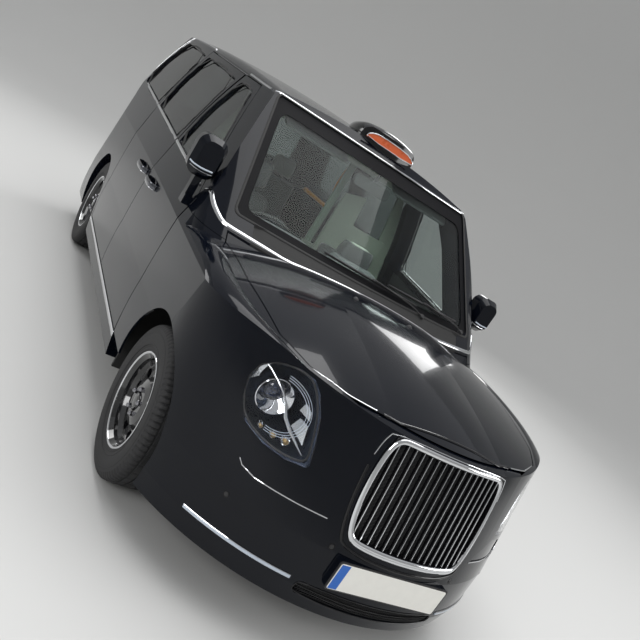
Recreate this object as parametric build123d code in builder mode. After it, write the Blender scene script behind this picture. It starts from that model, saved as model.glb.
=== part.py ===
# A purpose-built town taxi, right-hand drive, as an assembly of separate pieces.
# The front faces -Y, +Z is up, and the driver sits on the -X side.
# The origin is on the ground, under the middle of the whole vehicle. Millimetres throughout.

import os
from math import asin, cos, degrees, hypot, radians, sin, sqrt

from build123d import *

os.makedirs("parts", exist_ok=True)

# Overall sizes
LENGTH = 4857.0
BODY_HALF = 937.0
MIRROR_HALF = 1018.0
ROOF_TOP = 1862.0
SIGN_TOP = 1888.0
FRONT_AXLE = -1528.0
REAR_AXLE = 1457.0
TRACK_HALF = 805.0
TYRE_R = 343.0
TYRE_W = 215.0
HALF_LENGTH = LENGTH / 2

# Walls and clearances
SKIN = 10.0
ROOF_T = 34.0
DOOR_T = 65.0
PILLAR_GAP = 6.0
SIDE_T = 120.0
SHUT_GAP = 6.0
HINGE_GAP = 8.0
DOOR_GAP = 8.0
DOOR_GAP_TOP = 28.0
SEAT_GAP = 0.3
GLASS_T = 5.0
GLASS_IN = 14.0

# Side view levels
UNDERSIDE = 200.0
SILL_TOP = 352.0
FLOOR_Z = 318.0
FLOOR_T = 18.0
SPLIT_Z = 655.0
WIDEST_Z = 650.0

# Columns: y, shoulder height, belt height, roof rail half-width, roof rail height, roof height
BODY_ROWS = [
    (-2470.0, 980.0, 1075.0, 690.0, 1600.0, 1672.0),
    (-1100.0, 985.0, 1148.0, 700.0, 1692.0, 1752.0),
    (-300.0, 1004.0, 1192.0, 714.0, 1735.0, 1812.0),
    (1300.0, 1020.0, 1280.0, 730.0, 1793.0, ROOF_TOP),
    (2470.0, 1035.0, 1343.0, 718.0, 1796.0, 1838.0),
]
BELT_HALF = 887.0
SHOULDER_HALF = 930.0
SILL_HALF = 900.0
RAIL_ROUND = 85.0
ROOF_EDGE_DROP = 40.0

# Columns: y, half-width, bonnet height in the middle, how far the middle stands above the crease
BONNET_ROWS = [
    (-2470.0, 560.0, 905.0, 2.0),
    (-2200.0, 700.0, 998.0, 8.0),
    (-1950.0, 856.0, 1064.0, 12.0),
    (-1700.0, 940.0, 1108.0, 11.0),
    (-1450.0, 950.0, 1134.0, 4.0),
    (-1200.0, 950.0, 1140.0, 0.0),
    (-950.0, 950.0, 1126.0, 0.0),
]
CREASE_HALF = 292.0
BONNET_CROWN_R = 3500.0
WING_ROUND = 130.0

# Nose in plan: one broad arc and a tighter one round each corner
NOSE_R = 1000.0
NOSE_TURN = 55.0
CORNER_R = 652.0
# Columns: height, how far the nose stands back
NOSE_ROWS = [(150.0, 46.0), (290.0, 0.0), (470.0, 0.0), (1250.0, 140.0)]

# Tail in plan
TAIL_R = 3000.0
# Columns: height, half-width, how far the tail stands forward, corner radius
TAIL_ROWS = [
    (150.0, BODY_HALF, 40.0, 320.0),
    (300.0, BODY_HALF, 0.0, 320.0),
    (560.0, BODY_HALF, 0.0, 320.0),
    (1300.0, 900.0, 150.0, 260.0),
    (1950.0, 712.0, 300.0, 180.0),
]

# Windscreen: foot and its bow, and how it rakes back
SCREEN_FOOT_Z = 1148.0
SCREEN_FOOT_Y = -1220.0
SCREEN_BOW = 111.0
SCREEN_HALF = 780.0
SCREEN_RAKE = 1.041

# Doors in the side view
FRONT_DOOR_Y = -893.0
DOOR_SPLIT_Y = 56.0
REAR_DOOR_Y = 1030.0
DOOR_CORNER_Z = 1112.0
DOOR_TOP_Y = -292.0
DOOR_TOP_Z = 1722.0
RAIL_SLOPE = 0.0365
BELT_Z = 1148.0
BELT_SLOPE = 0.055
BELT_Y = -1109.0
FRAME_W = 46.0
FRAME_IN = 668.0
REBATE = 24.0
HINGE_IN = 24.0
HINGE_OUT = 29.0
HINGE_SWEEP_R = hypot(HINGE_IN, HINGE_OUT) - 0.2
LATCH_BEND_Z = 1000.0
PIN_R = 6.0
KNUCKLE_R = 11.0
HINGE_HIGH = 44.0
HINGE_LEVELS = (560.0, 860.0)

CABIN_FRONT_Y = -1060.0
CABIN_Z = (110.0, 1010.0)
ARCH_R = 396.0
REAR_ARCH_R = 388.0
REAR_ARCH_IN = 590.0


def belt_z(y):
    return BELT_Z + BELT_SLOPE * (y - BELT_Y)


def door_top(y):
    return DOOR_TOP_Z + RAIL_SLOPE * (y - DOOR_TOP_Y)


def on_circle(centre, radius, angle):
    """A point at an angle from +X, in degrees."""
    return (centre[0] + radius * cos(radians(angle)), centre[1] + radius * sin(radians(angle)))


# Body form: everything is cut from this one outer shape and its inset copies


def body_sides(inset):
    """Cross sections of the sides and roof, lofted from end to end."""
    with BuildPart() as sides:
        for y, shoulder, belt, rail_x, rail_z, roof_z in BODY_ROWS:
            edge_z = roof_z - ROOF_EDGE_DROP - inset
            rail = (rail_x - 0.73 * inset, rail_z - 0.9 * inset)
            roof_edge = (rail_x - RAIL_ROUND - 0.45 * inset, edge_z)
            turn = (rail[0] - 0.33 * (rail[0] - roof_edge[0]), rail[1] + 0.6 * (edge_z - rail[1]))
            glass_mid = ((BELT_HALF + rail_x) / 2 + 14 - inset, (belt + rail_z) / 2)
            sill = (SILL_HALF - inset, UNDERSIDE + inset)
            with BuildSketch(Plane.XZ.offset(-y)):
                with BuildLine():
                    Line((-sill[0], sill[1]), sill)
                    ThreePointArc(sill, (SILL_HALF + 31 - inset, 400), (BODY_HALF - inset, WIDEST_Z))
                    ThreePointArc(
                        (BODY_HALF - inset, WIDEST_Z),
                        (BODY_HALF - 0.8 - inset, 830),
                        (SHOULDER_HALF - inset, shoulder),
                    )
                    Line((SHOULDER_HALF - inset, shoulder), (BELT_HALF - inset, belt))
                    ThreePointArc((BELT_HALF - inset, belt), glass_mid, rail)
                    ThreePointArc(rail, turn, roof_edge)
                    ThreePointArc(roof_edge, (0, roof_z - inset), (-roof_edge[0], edge_z))
                    ThreePointArc((-roof_edge[0], edge_z), (-turn[0], turn[1]), (-rail[0], rail[1]))
                    ThreePointArc((-rail[0], rail[1]), (-glass_mid[0], glass_mid[1]), (inset - BELT_HALF, belt))
                    Line((inset - BELT_HALF, belt), (inset - SHOULDER_HALF, shoulder))
                    ThreePointArc(
                        (inset - SHOULDER_HALF, shoulder),
                        (0.8 + inset - BODY_HALF, 830),
                        (inset - BODY_HALF, WIDEST_Z),
                    )
                    ThreePointArc(
                        (inset - BODY_HALF, WIDEST_Z), (inset - SILL_HALF - 31, 400), (-sill[0], sill[1])
                    )
                make_face()
        loft()
    return sides.part


def bonnet_block(inset):
    """The crowned bonnet with rounded wing tops, down to below the sills."""
    with BuildPart() as block:
        for y, half, top, rise in BONNET_ROWS:
            edge_x = half - WING_ROUND
            edge_z = top - edge_x**2 / (2 * BONNET_CROWN_R)
            crease_z = top - CREASE_HALF**2 / (2 * BONNET_CROWN_R) - rise
            flank_x = (edge_x + CREASE_HALF) / 2
            flank_z = top - flank_x**2 / (2 * BONNET_CROWN_R) - 0.6 * rise
            with BuildSketch(Plane.XZ.offset(-y)):
                with BuildLine():
                    side = (half - inset, edge_z - 118)
                    edge = (edge_x, edge_z - inset)
                    turn = (half - 32 - 0.75 * inset, edge_z - 32 - 0.7 * inset)
                    foot = (half - inset, 120)
                    Line((-foot[0], foot[1]), foot)
                    Line(foot, side)
                    crease = (CREASE_HALF, crease_z - inset)
                    ThreePointArc(side, turn, edge)
                    ThreePointArc(edge, (flank_x, flank_z - inset), crease)
                    ThreePointArc(crease, (0, top - inset), (-crease[0], crease[1]))
                    ThreePointArc((-crease[0], crease[1]), (-flank_x, flank_z - inset), (-edge[0], edge[1]))
                    ThreePointArc((-edge[0], edge[1]), (-turn[0], turn[1]), (-side[0], side[1]))
                    Line((-side[0], side[1]), (-foot[0], foot[1]))
                make_face()
        loft()
    return block.part


def nose_prism(inset):
    """Plan outline of the nose at each level."""
    turn = NOSE_TURN
    with BuildPart() as prism:
        for z, back in NOSE_ROWS:
            nose_centre = (0, -HALF_LENGTH + NOSE_R + back)
            corner_x = BODY_HALF - CORNER_R
            corner_y = nose_centre[1] - (NOSE_R - CORNER_R) * cos(radians(turn))
            tip = on_circle(nose_centre, NOSE_R - inset, -90)
            bend = on_circle((corner_x, corner_y), CORNER_R - inset, -90 + turn)
            middle = on_circle((corner_x, corner_y), CORNER_R - inset, -90 + (turn + 90) / 2)
            end = on_circle((corner_x, corner_y), CORNER_R - inset, 0)
            with BuildSketch(Plane.XY.offset(z)):
                with BuildLine():
                    ThreePointArc((-bend[0], bend[1]), tip, bend)
                    ThreePointArc(bend, middle, end)
                    Polyline(end, (end[0] + 60, -1000), (end[0] + 60, 0), (-end[0] - 60, 0), (-end[0] - 60, -1000),
                             (-end[0], end[1]))
                    ThreePointArc((-end[0], end[1]), (-middle[0], middle[1]), (-bend[0], bend[1]))
                make_face()
        loft(ruled=True)
    return prism.part


def tail_prism(inset):
    """Plan outline of the tail at each level."""
    with BuildPart() as prism:
        for z, half, forward, corner in TAIL_ROWS:
            rear = HALF_LENGTH - forward
            start = degrees(asin((half - corner) / (TAIL_R - corner)))
            centre_y = rear - TAIL_R + (TAIL_R - corner) * cos(radians(start))
            corner_centre = (half - corner, centre_y)
            bend = on_circle(corner_centre, corner - inset, 90 - start)
            middle = on_circle(corner_centre, corner - inset, (90 - start) / 2)
            end = on_circle(corner_centre, corner - inset, 0)
            with BuildSketch(Plane.XY.offset(z)):
                with BuildLine():
                    ThreePointArc((-bend[0], bend[1]), (0, rear - inset), bend)
                    ThreePointArc(bend, middle, end)
                    Polyline(end, (1100, 900), (1100, -3000), (-1100, -3000), (-1100, 900), (-end[0], end[1]))
                    ThreePointArc((-end[0], end[1]), (-middle[0], middle[1]), (-bend[0], bend[1]))
                make_face()
        loft(ruled=True)
    return prism.part


def screen_prism(inset):
    """The bowed windscreen plane with rounded pillars, and all that lies behind it."""
    with BuildPart() as prism:
        for z in (900.0, 1950.0):
            shift = SCREEN_RAKE * (z - SCREEN_FOOT_Z) + inset * hypot(1, SCREEN_RAKE)
            half = SCREEN_HALF - inset
            foot = (half, SCREEN_FOOT_Y + SCREEN_BOW + shift)
            round_end = (half + 125, foot[1] + 175)
            with BuildSketch(Plane.XY.offset(z)):
                with BuildLine():
                    ThreePointArc((-foot[0], foot[1]), (0, SCREEN_FOOT_Y + shift), foot)
                    ThreePointArc(foot, (half + 80, foot[1] + 66), round_end)
                    Polyline(round_end, (1100, round_end[1] + 500), (1100, 3200), (-1100, 3200),
                             (-1100, round_end[1] + 500), (-round_end[0], round_end[1]))
                    ThreePointArc((-round_end[0], round_end[1]), (-half - 80, foot[1] + 66), (-foot[0], foot[1]))
                make_face()
        loft(ruled=True)
    return prism.part


def body_form(inset):
    """The outside of the body, moved inwards by a wall thickness."""
    with BuildPart() as form:
        add(bonnet_block(inset))
        add(nose_prism(inset), mode=Mode.INTERSECT)
        with Locations((0, CABIN_FRONT_Y, CABIN_Z[0])):
            Box(2200, 4000, CABIN_Z[1] - CABIN_Z[0], align=(Align.CENTER, Align.MIN, Align.MIN))
        add(screen_prism(inset))
        add(body_sides(inset), mode=Mode.INTERSECT)
        add(tail_prism(inset), mode=Mode.INTERSECT)
    return form.part


# Cutting tools


def side_block(outline, inner, outer):
    """A side-view outline, (y, z) points, from one x to another."""
    with BuildPart() as block:
        with BuildSketch(Plane.YZ.offset(inner)):
            with BuildLine():
                Polyline(*outline, close=True)
            make_face()
        extrude(amount=outer - inner)
    return block.part


def plan_block(outline, low, high):
    """A plan outline, (x, y) points, from one height to another."""
    with BuildPart() as block:
        with BuildSketch(Plane.XY.offset(low)):
            with BuildLine():
                Polyline(*outline, close=True)
            make_face()
        extrude(amount=high - low)
    return block.part


def face_block(outline, rear, front, rounding=0.0, grow=0.0):
    """A front-view outline, (x, z) points, forward from one y to another, grown and with rounded corners."""
    with BuildPart() as block:
        with BuildSketch(Plane.XZ.offset(-rear)):
            with BuildLine():
                Polyline(*outline, close=True)
            make_face()
            if grow:
                offset(amount=grow, kind=Kind.INTERSECTION)
            if rounding:
                fillet(vertices(), rounding)
        extrude(amount=rear - front)
    return block.part


def box_block(x_range, y_range, z_range):
    """A plain block between two corners."""
    size = (x_range[1] - x_range[0], y_range[1] - y_range[0], z_range[1] - z_range[0])
    middle = (x_range[0] + size[0] / 2, y_range[0] + size[1] / 2, z_range[0] + size[2] / 2)
    with BuildPart() as block:
        with Locations(middle):
            Box(*size)
    return block.part


def cross_rod(x_range, y, z, radius):
    """A round bar along X."""
    with BuildPart() as rod:
        with BuildSketch(Plane.YZ.offset(x_range[0])):
            with Locations((y, z)):
                Circle(radius)
        extrude(amount=x_range[1] - x_range[0])
    return rod.part


def length_rod(x, z, rear, front, radius):
    """A round bar along Y, forward from one y to another."""
    with BuildPart() as rod:
        with BuildSketch(Plane.XZ.offset(-rear)):
            with Locations((x, z)):
                Circle(radius)
        extrude(amount=rear - front)
    return rod.part


def mirrored(solid):
    """The same piece for the vehicle's other side."""
    return mirror(solid, about=Plane.YZ, mode=Mode.PRIVATE)


def save(solid, name):
    """Labels a finished piece and writes its file."""
    solid.label = name
    export_step(solid, f"parts/{name}.step")


OUTER = body_form(0)
SKIN_IN = body_form(SKIN)
ROOF_IN = body_form(ROOF_T)
SIDE_IN = body_form(SIDE_T)
DOOR_OUT = body_sides(0)
DOOR_IN = body_sides(DOOR_T)
REBATE_IN = body_sides(DOOR_T + PILLAR_GAP)
GLASS_OUT = body_sides(GLASS_IN)
GLASS_INNER = body_sides(GLASS_IN + GLASS_T)


def shell(outside, inside, region, cuts=()):
    """The wall between two body forms inside a region, less some cutting tools."""
    with BuildPart() as wall:
        add(outside)
        add(region, mode=Mode.INTERSECT)
        add(inside, mode=Mode.SUBTRACT)
        for tool in cuts:
            add(tool, mode=Mode.SUBTRACT)
    return wall.part


# Bonnet, hinged at its rear edge under the cowl

BONNET_LINE = [(371, -2279), (610, -2102), (700, -1960), (762, -1600), (778, -1172)]
BONNET_REAR_MID = -1290.0
BONNET_FRONT_Z = 962.0
BONNET_REAR_GAP = 12.0
BONNET_HINGE_Y = -1140.0
BONNET_HINGE_Z = 1100.0
BONNET_ARM_X = 300.0
BONNET_ARM_W = 30.0
NECK_IN = 152.0
NECK_OUT = 178.0


def bonnet_outline(grow, grow_rear):
    """Plan outline of the bonnet, grown sideways and at the back by its gaps."""
    right = [(x + grow, y) for x, y in BONNET_LINE]
    rear = (right[-1][0], right[-1][1] + grow_rear)
    right[-1] = rear
    left = [(-x, y) for x, y in reversed(right)]
    front = right[0][0]
    with BuildPart() as block:
        with BuildSketch(Plane.XY.offset(700)):
            with BuildLine():
                Polyline((-front, -2600), (front, -2600), *right)
                ThreePointArc(rear, (0, BONNET_REAR_MID + grow_rear), (-rear[0], rear[1]))
                Polyline(*left, (-front, -2600))
            make_face()
        extrude(amount=600)
    return block.part


bonnet_hole = bonnet_outline(SHUT_GAP, BONNET_REAR_GAP)
below_bonnet = box_block((-900, 900), (-2500, -2000), (0, BONNET_FRONT_Z))

with BuildPart() as bonnet:
    add(shell(OUTER, ROOF_IN, bonnet_outline(0, 0), [below_bonnet]))
    for side in (-1, 1):
        arm_x = side * BONNET_ARM_X - BONNET_ARM_W / 2
        with BuildSketch(Plane.YZ.offset(arm_x)):
            with BuildLine():
                near, far = NECK_IN, NECK_OUT
                mid_in, mid_out = near * sin(radians(45)), far * sin(radians(45))
                y, z = BONNET_HINGE_Y, BONNET_HINGE_Z
                ThreePointArc((y - near, z), (y - mid_in, z - mid_in), (y - 13, z - sqrt(near**2 - 169)))
                Polyline((y - 13, z - sqrt(near**2 - 169)), (y - 13, z), (y + 13, z), (y + 13, z - far), (y, z - far))
                ThreePointArc((y, z - far), (y - mid_out, z - mid_out), (y - far, z))
                Line((y - far, z), (y - near, z))
            make_face()
        extrude(amount=BONNET_ARM_W)
        rod = (arm_x, arm_x + BONNET_ARM_W)
        add(cross_rod(rod, BONNET_HINGE_Y, BONNET_HINGE_Z, 14))
        add(cross_rod(rod, BONNET_HINGE_Y, BONNET_HINGE_Z, PIN_R + SEAT_GAP), mode=Mode.SUBTRACT)
save(bonnet.part, "bonnet")

# Doors

FRONT_DOOR = [
    (FRONT_DOOR_Y, SILL_TOP),
    (FRONT_DOOR_Y, DOOR_CORNER_Z),
    (DOOR_TOP_Y, DOOR_TOP_Z),
    (DOOR_SPLIT_Y - DOOR_GAP_TOP / 2, door_top(DOOR_SPLIT_Y)),
    (DOOR_SPLIT_Y - DOOR_GAP / 2, LATCH_BEND_Z),
    (DOOR_SPLIT_Y - DOOR_GAP / 2, SILL_TOP),
]
REAR_DOOR = [
    (DOOR_SPLIT_Y + DOOR_GAP / 2, SILL_TOP),
    (DOOR_SPLIT_Y + DOOR_GAP / 2, LATCH_BEND_Z),
    (DOOR_SPLIT_Y + DOOR_GAP_TOP / 2, door_top(DOOR_SPLIT_Y)),
    (REAR_DOOR_Y, door_top(REAR_DOOR_Y)),
    (REAR_DOOR_Y, SILL_TOP),
]
DOORWAY = [
    (FRONT_DOOR_Y, SILL_TOP),
    (FRONT_DOOR_Y, DOOR_CORNER_Z),
    (DOOR_TOP_Y, DOOR_TOP_Z),
    (REAR_DOOR_Y, door_top(REAR_DOOR_Y)),
    (REAR_DOOR_Y, SILL_TOP),
]


def grown(outline, amount):
    """A side-view outline offset outwards, or inwards where the amount is negative."""
    with BuildSketch() as sketch:
        with BuildLine():
            Polyline(*outline, close=True)
        make_face()
        offset(amount=amount, kind=Kind.INTERSECTION)
    return sketch.sketch


def side_prism(sketch, rounding=0.0):
    """Runs a side-view sketch through the vehicle's left side, beyond its skin."""
    with BuildPart() as prism:
        with BuildSketch(Plane.YZ.offset(FRAME_IN)):
            add(sketch)
            if rounding:
                fillet(vertices(), rounding)
        extrude(amount=BODY_HALF + 83 - FRAME_IN)
    return prism.part


FRONT_WINDOW = [
    (FRONT_DOOR_Y + 92, belt_z(FRONT_DOOR_Y) + 4),
    (DOOR_TOP_Y + 20, DOOR_TOP_Z - FRAME_W),
    (DOOR_SPLIT_Y - DOOR_GAP_TOP / 2 - FRAME_W, door_top(DOOR_SPLIT_Y) - FRAME_W),
    (DOOR_SPLIT_Y - DOOR_GAP / 2 - FRAME_W, belt_z(DOOR_SPLIT_Y) + 4),
]
REAR_WINDOW = [
    (DOOR_SPLIT_Y + DOOR_GAP / 2 + FRAME_W, belt_z(DOOR_SPLIT_Y) + 4),
    (DOOR_SPLIT_Y + DOOR_GAP_TOP / 2 + FRAME_W, door_top(DOOR_SPLIT_Y) - FRAME_W),
    (REAR_DOOR_Y - FRAME_W, door_top(REAR_DOOR_Y) - FRAME_W),
    (REAR_DOOR_Y - FRAME_W, belt_z(REAR_DOOR_Y) + 4),
]
QUARTER_WINDOW = [
    (REAR_DOOR_Y + FRAME_W, belt_z(REAR_DOOR_Y) + 4),
    (REAR_DOOR_Y + FRAME_W, door_top(REAR_DOOR_Y) - FRAME_W),
    (1868, door_top(1868) - FRAME_W - 6),
    (1962, belt_z(1962) + 4),
]
WINDOW_ROUND = 28.0

front_window_cut = side_prism(grown(FRONT_WINDOW, 0), WINDOW_ROUND)
rear_window_cut = side_prism(grown(REAR_WINDOW, 0), WINDOW_ROUND)
quarter_window_cut = side_prism(grown(QUARTER_WINDOW, 0), WINDOW_ROUND)


# Plan position of each hinge axis, beyond the door's hinged edge
FRONT_AXIS = (BODY_HALF - HINGE_IN, FRONT_DOOR_Y - HINGE_OUT)
REAR_AXIS = (BODY_HALF - HINGE_IN, REAR_DOOR_Y + HINGE_OUT)
STRAP_T = 8.0


def door_leaf(outline, window_cut, axis, toward):
    """One left-hand door with its window opening and hinge straps; the door lies toward +Y or -Y of its axis."""
    with BuildPart() as leaf:
        add(shell(DOOR_OUT, DOOR_IN, side_prism(grown(outline, 0)), [window_cut]))
        with Locations((axis[0], axis[1], 700)):
            Cylinder(HINGE_SWEEP_R, 1200, mode=Mode.SUBTRACT)
        for level in HINGE_LEVELS:
            low = level - HINGE_HIGH / 2
            back = axis[0] - 33
            half = STRAP_T / 2 * toward
            end = axis[1] + (HINGE_OUT + 8) * toward
            strap = [
                (axis[0], axis[1] - half),
                (back, axis[1] - half),
                (back, end),
                (back + STRAP_T, end),
                (back + STRAP_T, axis[1] + half),
                (axis[0], axis[1] + half),
            ]
            add(plan_block(strap, low, low + HINGE_HIGH))
            with Locations((axis[0], axis[1], level)):
                Cylinder(KNUCKLE_R, HINGE_HIGH)
                Cylinder(PIN_R + SEAT_GAP, HINGE_HIGH + 2, mode=Mode.SUBTRACT)
    return leaf.part


front_leaf = door_leaf(FRONT_DOOR, front_window_cut, FRONT_AXIS, 1)
rear_leaf = door_leaf(REAR_DOOR, rear_window_cut, REAR_AXIS, -1)

# Mirrors stand on the front doors
MIRROR_Z = 1306.0
MIRROR_Y = -858.0
MIRROR_IN = 870.0
with BuildPart() as mirror_block:
    with BuildSketch(Plane.XZ.offset(-(MIRROR_Y - 62))):
        with Locations(((MIRROR_HALF + MIRROR_IN) / 2, MIRROR_Z)):
            RectangleRounded(MIRROR_HALF - MIRROR_IN - 44, 158, 40)
    with BuildSketch(Plane.XZ.offset(-(MIRROR_Y - 20))):
        with Locations(((MIRROR_HALF + MIRROR_IN) / 2, MIRROR_Z)):
            RectangleRounded(MIRROR_HALF - MIRROR_IN, 204, 52)
    with BuildSketch(Plane.XZ.offset(-(MIRROR_Y + 46))):
        with Locations(((MIRROR_HALF + MIRROR_IN) / 2, MIRROR_Z)):
            RectangleRounded(MIRROR_HALF - MIRROR_IN - 6, 198, 50)
    loft(ruled=True)
    add(box_block((912, 950), (-868, -818), (1060, 1215)))
    add(box_block((862, 950), (-880, -810), (1060, 1106)))

with BuildPart() as door_front_left:
    add(front_leaf)
    add(mirror_block.part)
with BuildPart() as door_rear_left:
    add(rear_leaf)
save(door_front_left.part, "door_front_left")
save(mirrored(door_front_left.part), "door_front_right")
save(door_rear_left.part, "door_rear_left")
save(mirrored(door_rear_left.part), "door_rear_right")


def pane(outline):
    """One left-hand side window, seated in its opening."""
    return shell(GLASS_OUT, GLASS_INNER, side_prism(grown(outline, -SEAT_GAP), WINDOW_ROUND - SEAT_GAP))


front_pane = pane(FRONT_WINDOW)
rear_pane = pane(REAR_WINDOW)
quarter_pane = pane(QUARTER_WINDOW)
save(front_pane, "glass_front_left")
save(mirrored(front_pane), "glass_front_right")
save(rear_pane, "glass_rear_left")
save(mirrored(rear_pane), "glass_rear_right")
save(Compound(children=[quarter_pane, mirrored(quarter_pane)]), "quarter_glass")

# Body side: sill, pillars, roof rail and rear quarter in one welded frame

SIDE_FRONT_Y = -985.0
COWL_Z = 1062.0
REAR_SPLIT_Z = 596.0
SCREEN_LOW = 1176.0
SCREEN_HIGH = 1735.0
SCREEN_FOOT_HALF = 768.0
SCREEN_HEAD_HALF = 680.0


def screen_outline(grow):
    """Front-view outline of the windscreen, grown by a gap."""
    foot, head = SCREEN_FOOT_HALF + grow, SCREEN_HEAD_HALF + grow
    low, high = SCREEN_LOW - grow, SCREEN_HIGH + grow
    return [(-foot, low), (foot, low), (head, high), (-head, high)]


screen_hole = face_block(screen_outline(SEAT_GAP), -300, -1400, 30)
GATE_X = [(660.0, 1900.0), (668.0, 1760.0), (742.0, 1290.0), (752.0, 690.0)]
GATE_LOW = 690.0
GATE_FRONT_Y = 2086.0
ROOF_REAR_Y = 2060.0


def gate_outline(grow):
    """Front-view outline of the tailgate, grown sideways and below by a gap."""
    right = [(x + grow, z) for x, z in GATE_X]
    right[-1] = (right[-1][0], GATE_LOW - grow)
    return [*right, *[(-x, z) for x, z in reversed(right)]]


gate_region = face_block(gate_outline(0), 2600, GATE_FRONT_Y)
gate_hole = face_block(gate_outline(SHUT_GAP), 2600, GATE_FRONT_Y - SHUT_GAP)
TAIL_LAMP = [(778, 760), (900, 790), (900, 1210), (770, 1240)]
tail_lamp_region = face_block(TAIL_LAMP, 2600, 2130)
side_region = side_block(
    [
        (SIDE_FRONT_Y, 215), (SIDE_FRONT_Y, COWL_Z), (-1300, COWL_Z), (-1300, 1400), (-700, 1900),
        (2600, 1900), (2600, REAR_SPLIT_Z), (2060, REAR_SPLIT_Z), (2060, 480), (1990, 215),
    ],
    560, 1000,
)
inner_region = box_block((FRAME_IN, 1000), (-3000, 3000), (0, 1900))
rear_arch = cross_rod((500, 1000), REAR_AXLE, TYRE_R, REAR_ARCH_R)
front_arch = cross_rod((500, 1000), FRONT_AXLE, TYRE_R, ARCH_R)
front_aperture = side_prism(grown(FRONT_DOOR, -REBATE))
rear_aperture = side_prism(grown(REAR_DOOR, -REBATE))


# The space that both door leaves fill, with their shut gaps, out to beyond the skin
doorway = side_prism(grown(DOORWAY, SHUT_GAP))
with BuildPart() as rebate:
    for shift in (SHUT_GAP - HINGE_GAP, HINGE_GAP - SHUT_GAP):
        add(doorway.moved(Location((0, shift, 0))))
    add(REBATE_IN, mode=Mode.SUBTRACT)

ahead_of_door = box_block((FRAME_IN, 1000), (-1100, FRONT_DOOR_Y), (100, COWL_Z))
with BuildPart() as wing_space:
    add(ahead_of_door)
    add(REBATE_IN, mode=Mode.SUBTRACT)


def hinge_pocket(axis):
    """Room for one door's hinge knuckles and straps behind the outer skin."""
    with BuildPart() as pocket:
        for level in HINGE_LEVELS:
            half = HINGE_HIGH / 2 + 16
            add(box_block((axis[0] - 52, axis[0] + 12), (axis[1] - 30, axis[1] + 30), (level - half, level + half)))
    return pocket.part


PILLAR_FACE = BODY_HALF - DOOR_T - PILLAR_GAP


def hinge_pins(axis):
    """Pins on ears that the pillar carries, above and below each knuckle."""
    with BuildPart() as pins:
        for level in HINGE_LEVELS:
            with Locations((axis[0], axis[1], level)):
                Cylinder(PIN_R, HINGE_HIGH + 20)
            for end in (-1, 1):
                base = level + end * (HINGE_HIGH / 2 + SEAT_GAP + 4)
                with Locations((axis[0], axis[1], base)):
                    Cylinder(KNUCKLE_R, 8)
                ear_y = (axis[1] - KNUCKLE_R, axis[1] + KNUCKLE_R)
                add(box_block((PILLAR_FACE - 10, axis[0]), ear_y, (base - 4, base + 4)))
    return pins.part


with BuildPart() as bodyside_left:
    add(OUTER)
    add(side_region, mode=Mode.INTERSECT)
    add(inner_region, mode=Mode.INTERSECT)
    add(SIDE_IN, mode=Mode.SUBTRACT)
    add(rebate.part, mode=Mode.SUBTRACT)
    add(wing_space.part, mode=Mode.SUBTRACT)
    add(front_aperture, mode=Mode.SUBTRACT)
    add(rear_aperture, mode=Mode.SUBTRACT)
    add(quarter_window_cut, mode=Mode.SUBTRACT)
    add(rear_arch, mode=Mode.SUBTRACT)
    add(gate_hole, mode=Mode.SUBTRACT)
    add(screen_hole, mode=Mode.SUBTRACT)
    add(tail_lamp_region, mode=Mode.SUBTRACT)
    add(bonnet_hole, mode=Mode.SUBTRACT)
    add(hinge_pocket(REAR_AXIS), mode=Mode.SUBTRACT)
    add(hinge_pins(FRONT_AXIS))
    add(hinge_pins(REAR_AXIS))
save(bodyside_left.part, "bodyside_left")
save(mirrored(bodyside_left.part), "bodyside_right")

# Roof between the side frames
GATE_HINGE_Y = 2077.0
GATE_HINGE_Z = 1843.0
GATE_HINGE_X = 150.0
GATE_KNUCKLE_R = 6.0
GATE_PIN_R = 3.0
roof_region = box_block((SEAT_GAP - FRAME_IN, FRAME_IN - SEAT_GAP), (-700, ROOF_REAR_Y), (1600, 1900))
with BuildPart() as roof_panel:
    add(shell(OUTER, ROOF_IN, roof_region, [box_block((-900, 900), (-900, -200), (1500, SCREEN_HIGH + SEAT_GAP))]))
    for side in (-1, 1):
        middle = side * GATE_HINGE_X
        add(cross_rod((middle - 24, middle + 24), GATE_HINGE_Y, GATE_HINGE_Z, GATE_PIN_R))
        for ear in ((middle - 24, middle - 12 - SEAT_GAP), (middle + 12 + SEAT_GAP, middle + 24)):
            add(cross_rod(ear, GATE_HINGE_Y, GATE_HINGE_Z, GATE_KNUCKLE_R))
            add(box_block(ear, (ROOF_REAR_Y - 14, GATE_HINGE_Y), (GATE_HINGE_Z - 6, GATE_HINGE_Z + 3)))
save(roof_panel.part, "roof_panel")

# Windscreen and its frame
SCREEN_IN = 8.0
SCREEN_T = 6.0
with BuildPart() as windscreen:
    add(screen_prism(SCREEN_IN))
    add(screen_prism(SCREEN_IN + SCREEN_T), mode=Mode.SUBTRACT)
    add(face_block(screen_outline(0), 0, -1400, 30), mode=Mode.INTERSECT)
save(windscreen.part, "windscreen")

# Wings
wing_region = side_block(
    [
        (-2600, 200), (-2600, 1200), (-1000, 1200), (FRONT_DOOR_Y - HINGE_GAP, DOOR_CORNER_Z + 20),
        (FRONT_DOOR_Y - HINGE_GAP, SILL_TOP - 6), (-1140, SILL_TOP - 6),
    ],
    300, 1000,
)
LAMP = [(487, 680), (500, 760), (524, 850), (556, 915), (590, 951), (640, 953), (700, 928), (742, 880),
        (754, 820), (742, 750), (712, 690), (640, 664), (560, 662)]
LAMP_ROUND = 12.0
lamp_cut = face_block(LAMP, -1700, -2600, LAMP_ROUND)
BUMPER_SPLIT = [(-2600, 100), (-2600, 660), (-2000, SPLIT_Z), (-1830, SPLIT_Z - 40), (-1760, 560), (-1760, 100)]
bumper_side = side_block(BUMPER_SPLIT, -1000, 1000)
nose_middle = box_block((-430, 430), (-2600, -2150), (100, BONNET_FRONT_Z - SHUT_GAP))
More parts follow.
